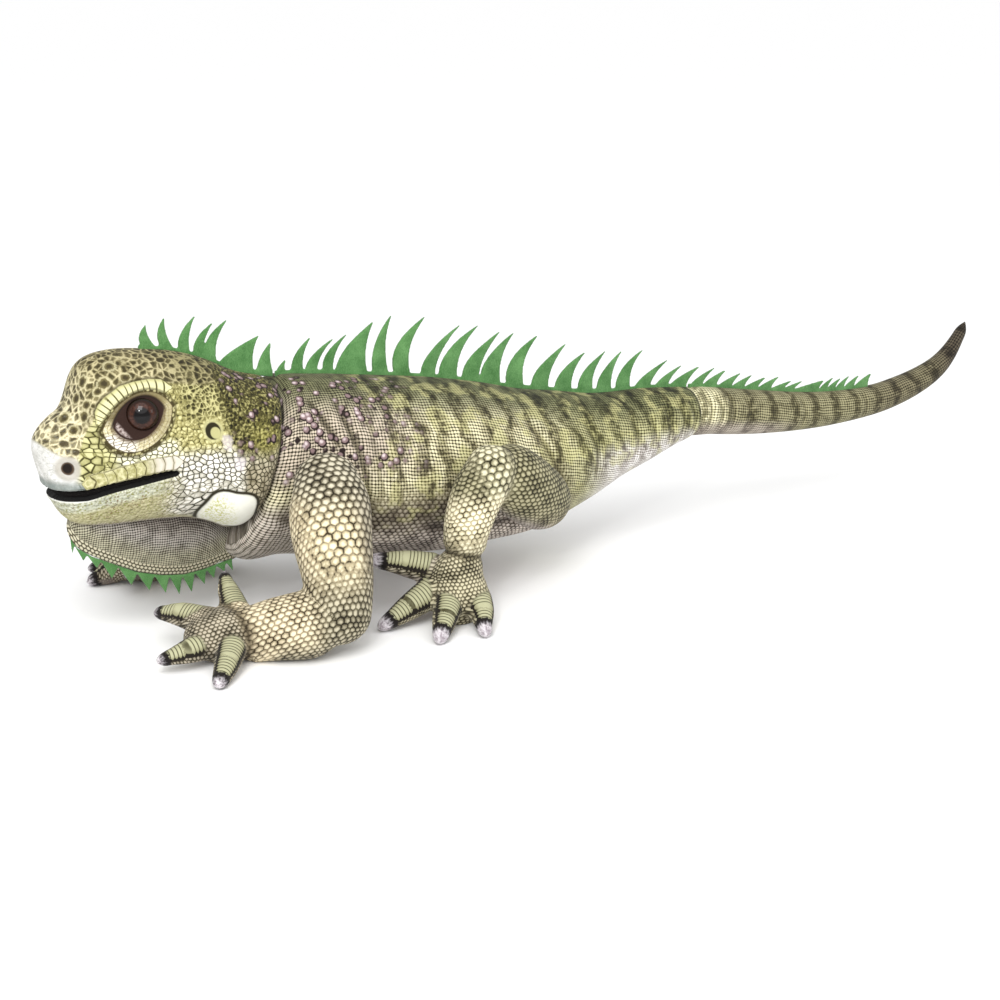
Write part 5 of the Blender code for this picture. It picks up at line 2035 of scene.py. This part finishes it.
def fringe_outline() -> list[Spot]:
    """The outline of the toothed felt along the dewlap's keel."""
    keel = ridge_height(DEWLAP_SECTIONS)
    start, end = DEWLAP_SECTIONS[0][0] + 1, DEWLAP_SECTIONS[-1][0] - 1
    clear = 0.45
    under = [start, *(row[0] for row in DEWLAP_SECTIONS if start < row[0] < end), end]
    outline = [(x, keel(x) - clear) for x in under]
    feet = [(a[0] + b[0]) / 2 - FRINGE_LEAN for a, b in zip(FRINGE_POINTS, FRINGE_POINTS[1:])]
    feet = [start, *feet, end]
    for point, front, rear in reversed(list(zip(FRINGE_POINTS, feet, feet[1:]))):
        outline.append((rear - 0.2, keel(rear) - clear - FRINGE_STRIP))
        outline.append(point)
        outline.append((front + 0.2, keel(front) - clear - FRINGE_STRIP))
    return spaced(outline, 0.3)


def ridge_height(sections: Sequence[Row]) -> Callable[[float], float]:
    """The height of the ridge over a run of sections, at any x."""
    xs = [row[0] for row in sections]
    zs = [row[1] for row in sections]
    return lambda x: float(np.interp(x, xs, zs))


@dataclass
class PlasticEye:
    """A half ball of moulded plastic, its iris seen through a clear coat."""

    side: Side
    height: float = 8.4
    sunk: float = 3.0

    def axes(self) -> tuple[Vector, Vector, Vector]:
        """The way the eye looks, across and up."""
        turn, lift = math.radians(EYE_FORWARD), math.radians(EYE_UP)
        out = Vector((-math.sin(turn) * math.cos(lift),
                      self.side.value * math.cos(turn) * math.cos(lift), math.sin(lift)))
        across = Vector((0, 0, 1)).cross(out).normalized()
        return out, across, out.cross(across)

    def build(self) -> None:
        """Moulds the dome and its collar."""
        side = self.side.name.lower()
        piece = fresh(f"plastic_eye_{side}", bpy.ops.mesh.primitive_uv_sphere_add, segments=64,
                      ring_count=40, radius=1.0)
        ball = corners(piece)
        radius = np.hypot(ball[:, 0], ball[:, 1])
        outside = ball[:, 2] >= 0
        depth = ball[:, 2] * np.where(outside, self.height, self.sunk)
        swell = np.where(outside, radius, radius ** 0.35)
        spoke = ball[:, :2] / np.maximum(radius, 1e-6)[:, None] * swell[:, None] * EYE_RADIUS
        centre = np.array(EYE_CENTRE) * np.array([1, self.side.value, 1])
        set_down(piece, centre + np.column_stack([depth, spoke]) @ np.array(self.axes()))
        face_out(piece)
        add_value(piece, "from_middle", np.hypot(spoke[:, 0], spoke[:, 1]))
        dress(piece, self.plastic())
        hand_in(piece, [f"eye_{side}"])

    def plastic(self) -> bpy.types.Material:
        """Dark brown plastic round a black pupil, polished."""
        recipe = Recipe(f"eye_{self.side.name.lower()}_plastic")
        off = recipe.marked("from_middle")
        grain = recipe.noise(recipe.place(), 1.6, 3.0, 0.6)
        iris = recipe.blend(ink(40, 21, 14), ink(74, 42, 30), grain.rise(0.3, 0.75))
        iris = recipe.blend(iris, ink(36, 21, 15), off.rise(8.0, 10.4))
        colour = recipe.blend(iris, ink(6, 4, 4), off.drop(5.0, 7.2))
        colour = recipe.blend(colour, ink(14, 9, 7), off.rise(10.0, 11.6))
        return recipe.finish(colour, 0.3, grain, 0.01, Coat_Weight=0.5, Coat_Roughness=0.03,
                             Specular_IOR_Level=0.02)


@dataclass
class MouthFelt:
    """The black felt that lines the mouth."""

    voxel: float = 1.3

    def build(self) -> None:
        """Softens a copy of the lining's solid."""
        clear_selection()
        piece = bpy.data.objects.new("mouth_felt", frame["nodes"]["mouth_lining"].data.copy())
        bpy.context.scene.collection.objects.link(piece)
        edit(piece, bpy.ops.mesh.remove_doubles, threshold=0.00001)
        felt_together(piece, self.voxel, 2)
        recipe = Recipe("mouth_felt_black")
        fibre = recipe.noise(recipe.place(), 0.8, 3.0, 0.65)
        colour = recipe.blend(ink(10, 9, 9), ink(34, 31, 30), fibre.rise(0.35, 0.75))
        dress(piece, recipe.finish(colour, 0.97, fibre, 0.4, Specular_IOR_Level=0.1))
        hand_in(piece, ["mouth_lining"])


def hang(name: str, thing: bpy.types.ID, place: Sequence[float], way: Vector) -> bpy.types.Object:
    """Sets a light or the camera down at a place, facing one way."""
    made = bpy.data.objects.new(name, thing)
    made.location = place
    made.rotation_euler = way.to_track_quat("-Z", "Y").to_euler()
    bpy.context.scene.collection.objects.link(made)
    return made


@dataclass
class Studio:
    """The pale floor, the soft lights and the camera."""

    azimuth: float = -32.0
    elevation: float = 16.0
    distance: float = 1.5
    lens: float = 63.36
    aim_height: float = 0.06

    def build(self) -> None:
        """Sets up the studio round the toy."""
        self.floor()
        sun = bpy.data.lights.new("overhead", "SUN")
        sun.energy = 1.45
        sun.angle = math.radians(70)
        hang("overhead", sun, (0, 0, 0), Vector((0.30, 0.75, -0.85)))
        self.light("left_box", (-1.1, -1.3, 1.5), 0.8, 17.0)
        self.light("right_box", (1.1, -1.9, 0.9), 0.7, 4.0)
        self.light("spark", (-1.25, -1.35, 0.95), 0.14, 5.0)
        scene = bpy.context.scene
        scene.world = bpy.data.worlds.new("studio_air")
        scene.world.use_nodes = True
        air = scene.world.node_tree.nodes["Background"]
        air.inputs["Color"].default_value = (1.0, 1.0, 1.0, 1.0)
        air.inputs["Strength"].default_value = 0.72
        scene.view_settings.view_transform = "Standard"
        scene.camera = self.camera()

    def floor(self) -> None:
        """Lays the floor sheet."""
        clear_selection()
        bpy.ops.mesh.primitive_plane_add(size=600.0, location=(0, 0, -0.0004))
        sheet = bpy.context.object
        sheet.name = "floor"
        paper = Recipe("floor_paper").finish((0.96, 0.96, 0.96), 0.9, None, 0.0,
                                             Specular_IOR_Level=0.1)
        sheet.data.materials.append(paper)

    def light(self, name: str, place: Row, size: float, power: float) -> None:
        """Hangs a soft light that faces the toy."""
        lamp = bpy.data.lights.new(name, "AREA")
        lamp.shape = "SQUARE"
        lamp.size = size
        lamp.energy = power
        hang(name, lamp, place, Vector((0, 0, 0.08)) - Vector(place))

    def camera(self) -> bpy.types.Object:
        """Sets the camera at the viewing angle."""
        turn, lift = math.radians(self.azimuth), math.radians(self.elevation)
        back = Vector((math.sin(turn) * math.cos(lift), -math.cos(turn) * math.cos(lift),
                       math.sin(lift)))
        lens = bpy.data.cameras.new("camera")
        lens.lens = self.lens
        lens.sensor_width = 36.0
        aim = Vector((SHIFT.x, SHIFT.y, self.aim_height))
        return hang("camera", lens, aim + back * self.distance, -back)


def limbs() -> list[Limb]:
    """The two arms and the two legs."""
    rows = (
        (LimbKind.ARM, Side.LEFT, LEFT_ARM, LEFT_FOREARM, LEFT_PALM, LEFT_FINGERS, FINGER_RADII),
        (LimbKind.ARM, Side.RIGHT, RIGHT_ARM, RIGHT_FOREARM, RIGHT_PALM, RIGHT_FINGERS, FINGER_RADII),
        (LimbKind.LEG, Side.LEFT, LEFT_THIGH, LEFT_SHIN, LEFT_FOOT, LEFT_TOES, TOE_RADII),
        (LimbKind.LEG, Side.RIGHT, RIGHT_THIGH, RIGHT_SHIN, RIGHT_FOOT, RIGHT_TOES, TOE_RADII),
    )
    return [Limb(*row) for row in rows]


def crests() -> list[FeltStrip]:
    """The three strips of the crest and the toothed strip under the dewlap."""
    rows = (("head", HEAD_BLADES, HEAD_SECTIONS, -314, -207),
            ("back", BACK_BLADES, BODY_SECTIONS, -205, 196.5),
            ("tail", TAIL_BLADES, tail_sections(), 199, 418))
    strips = [FeltStrip(f"crest_{name}_felt", f"crest_{name}",
                        crest_outline(blades, ridge_height(sections), start, end))
              for name, blades, sections, start, end in rows]
    return strips + [FeltStrip("dewlap_teeth", "dewlap_fringe", fringe_outline(), 1.6, 0.6, 0.3)]


def main() -> None:
    """Builds the toy piece by piece and sets it in its studio."""
    logging.basicConfig(level=logging.INFO, format="%(message)s")
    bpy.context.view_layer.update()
    eyes = [PlasticEye(side) for side in Side]
    for piece in (*skins(), *limbs(), *crests(), *eyes, MouthFelt()):
        piece.build()
    Studio().build()


if __name__ == "__main__":
    main()
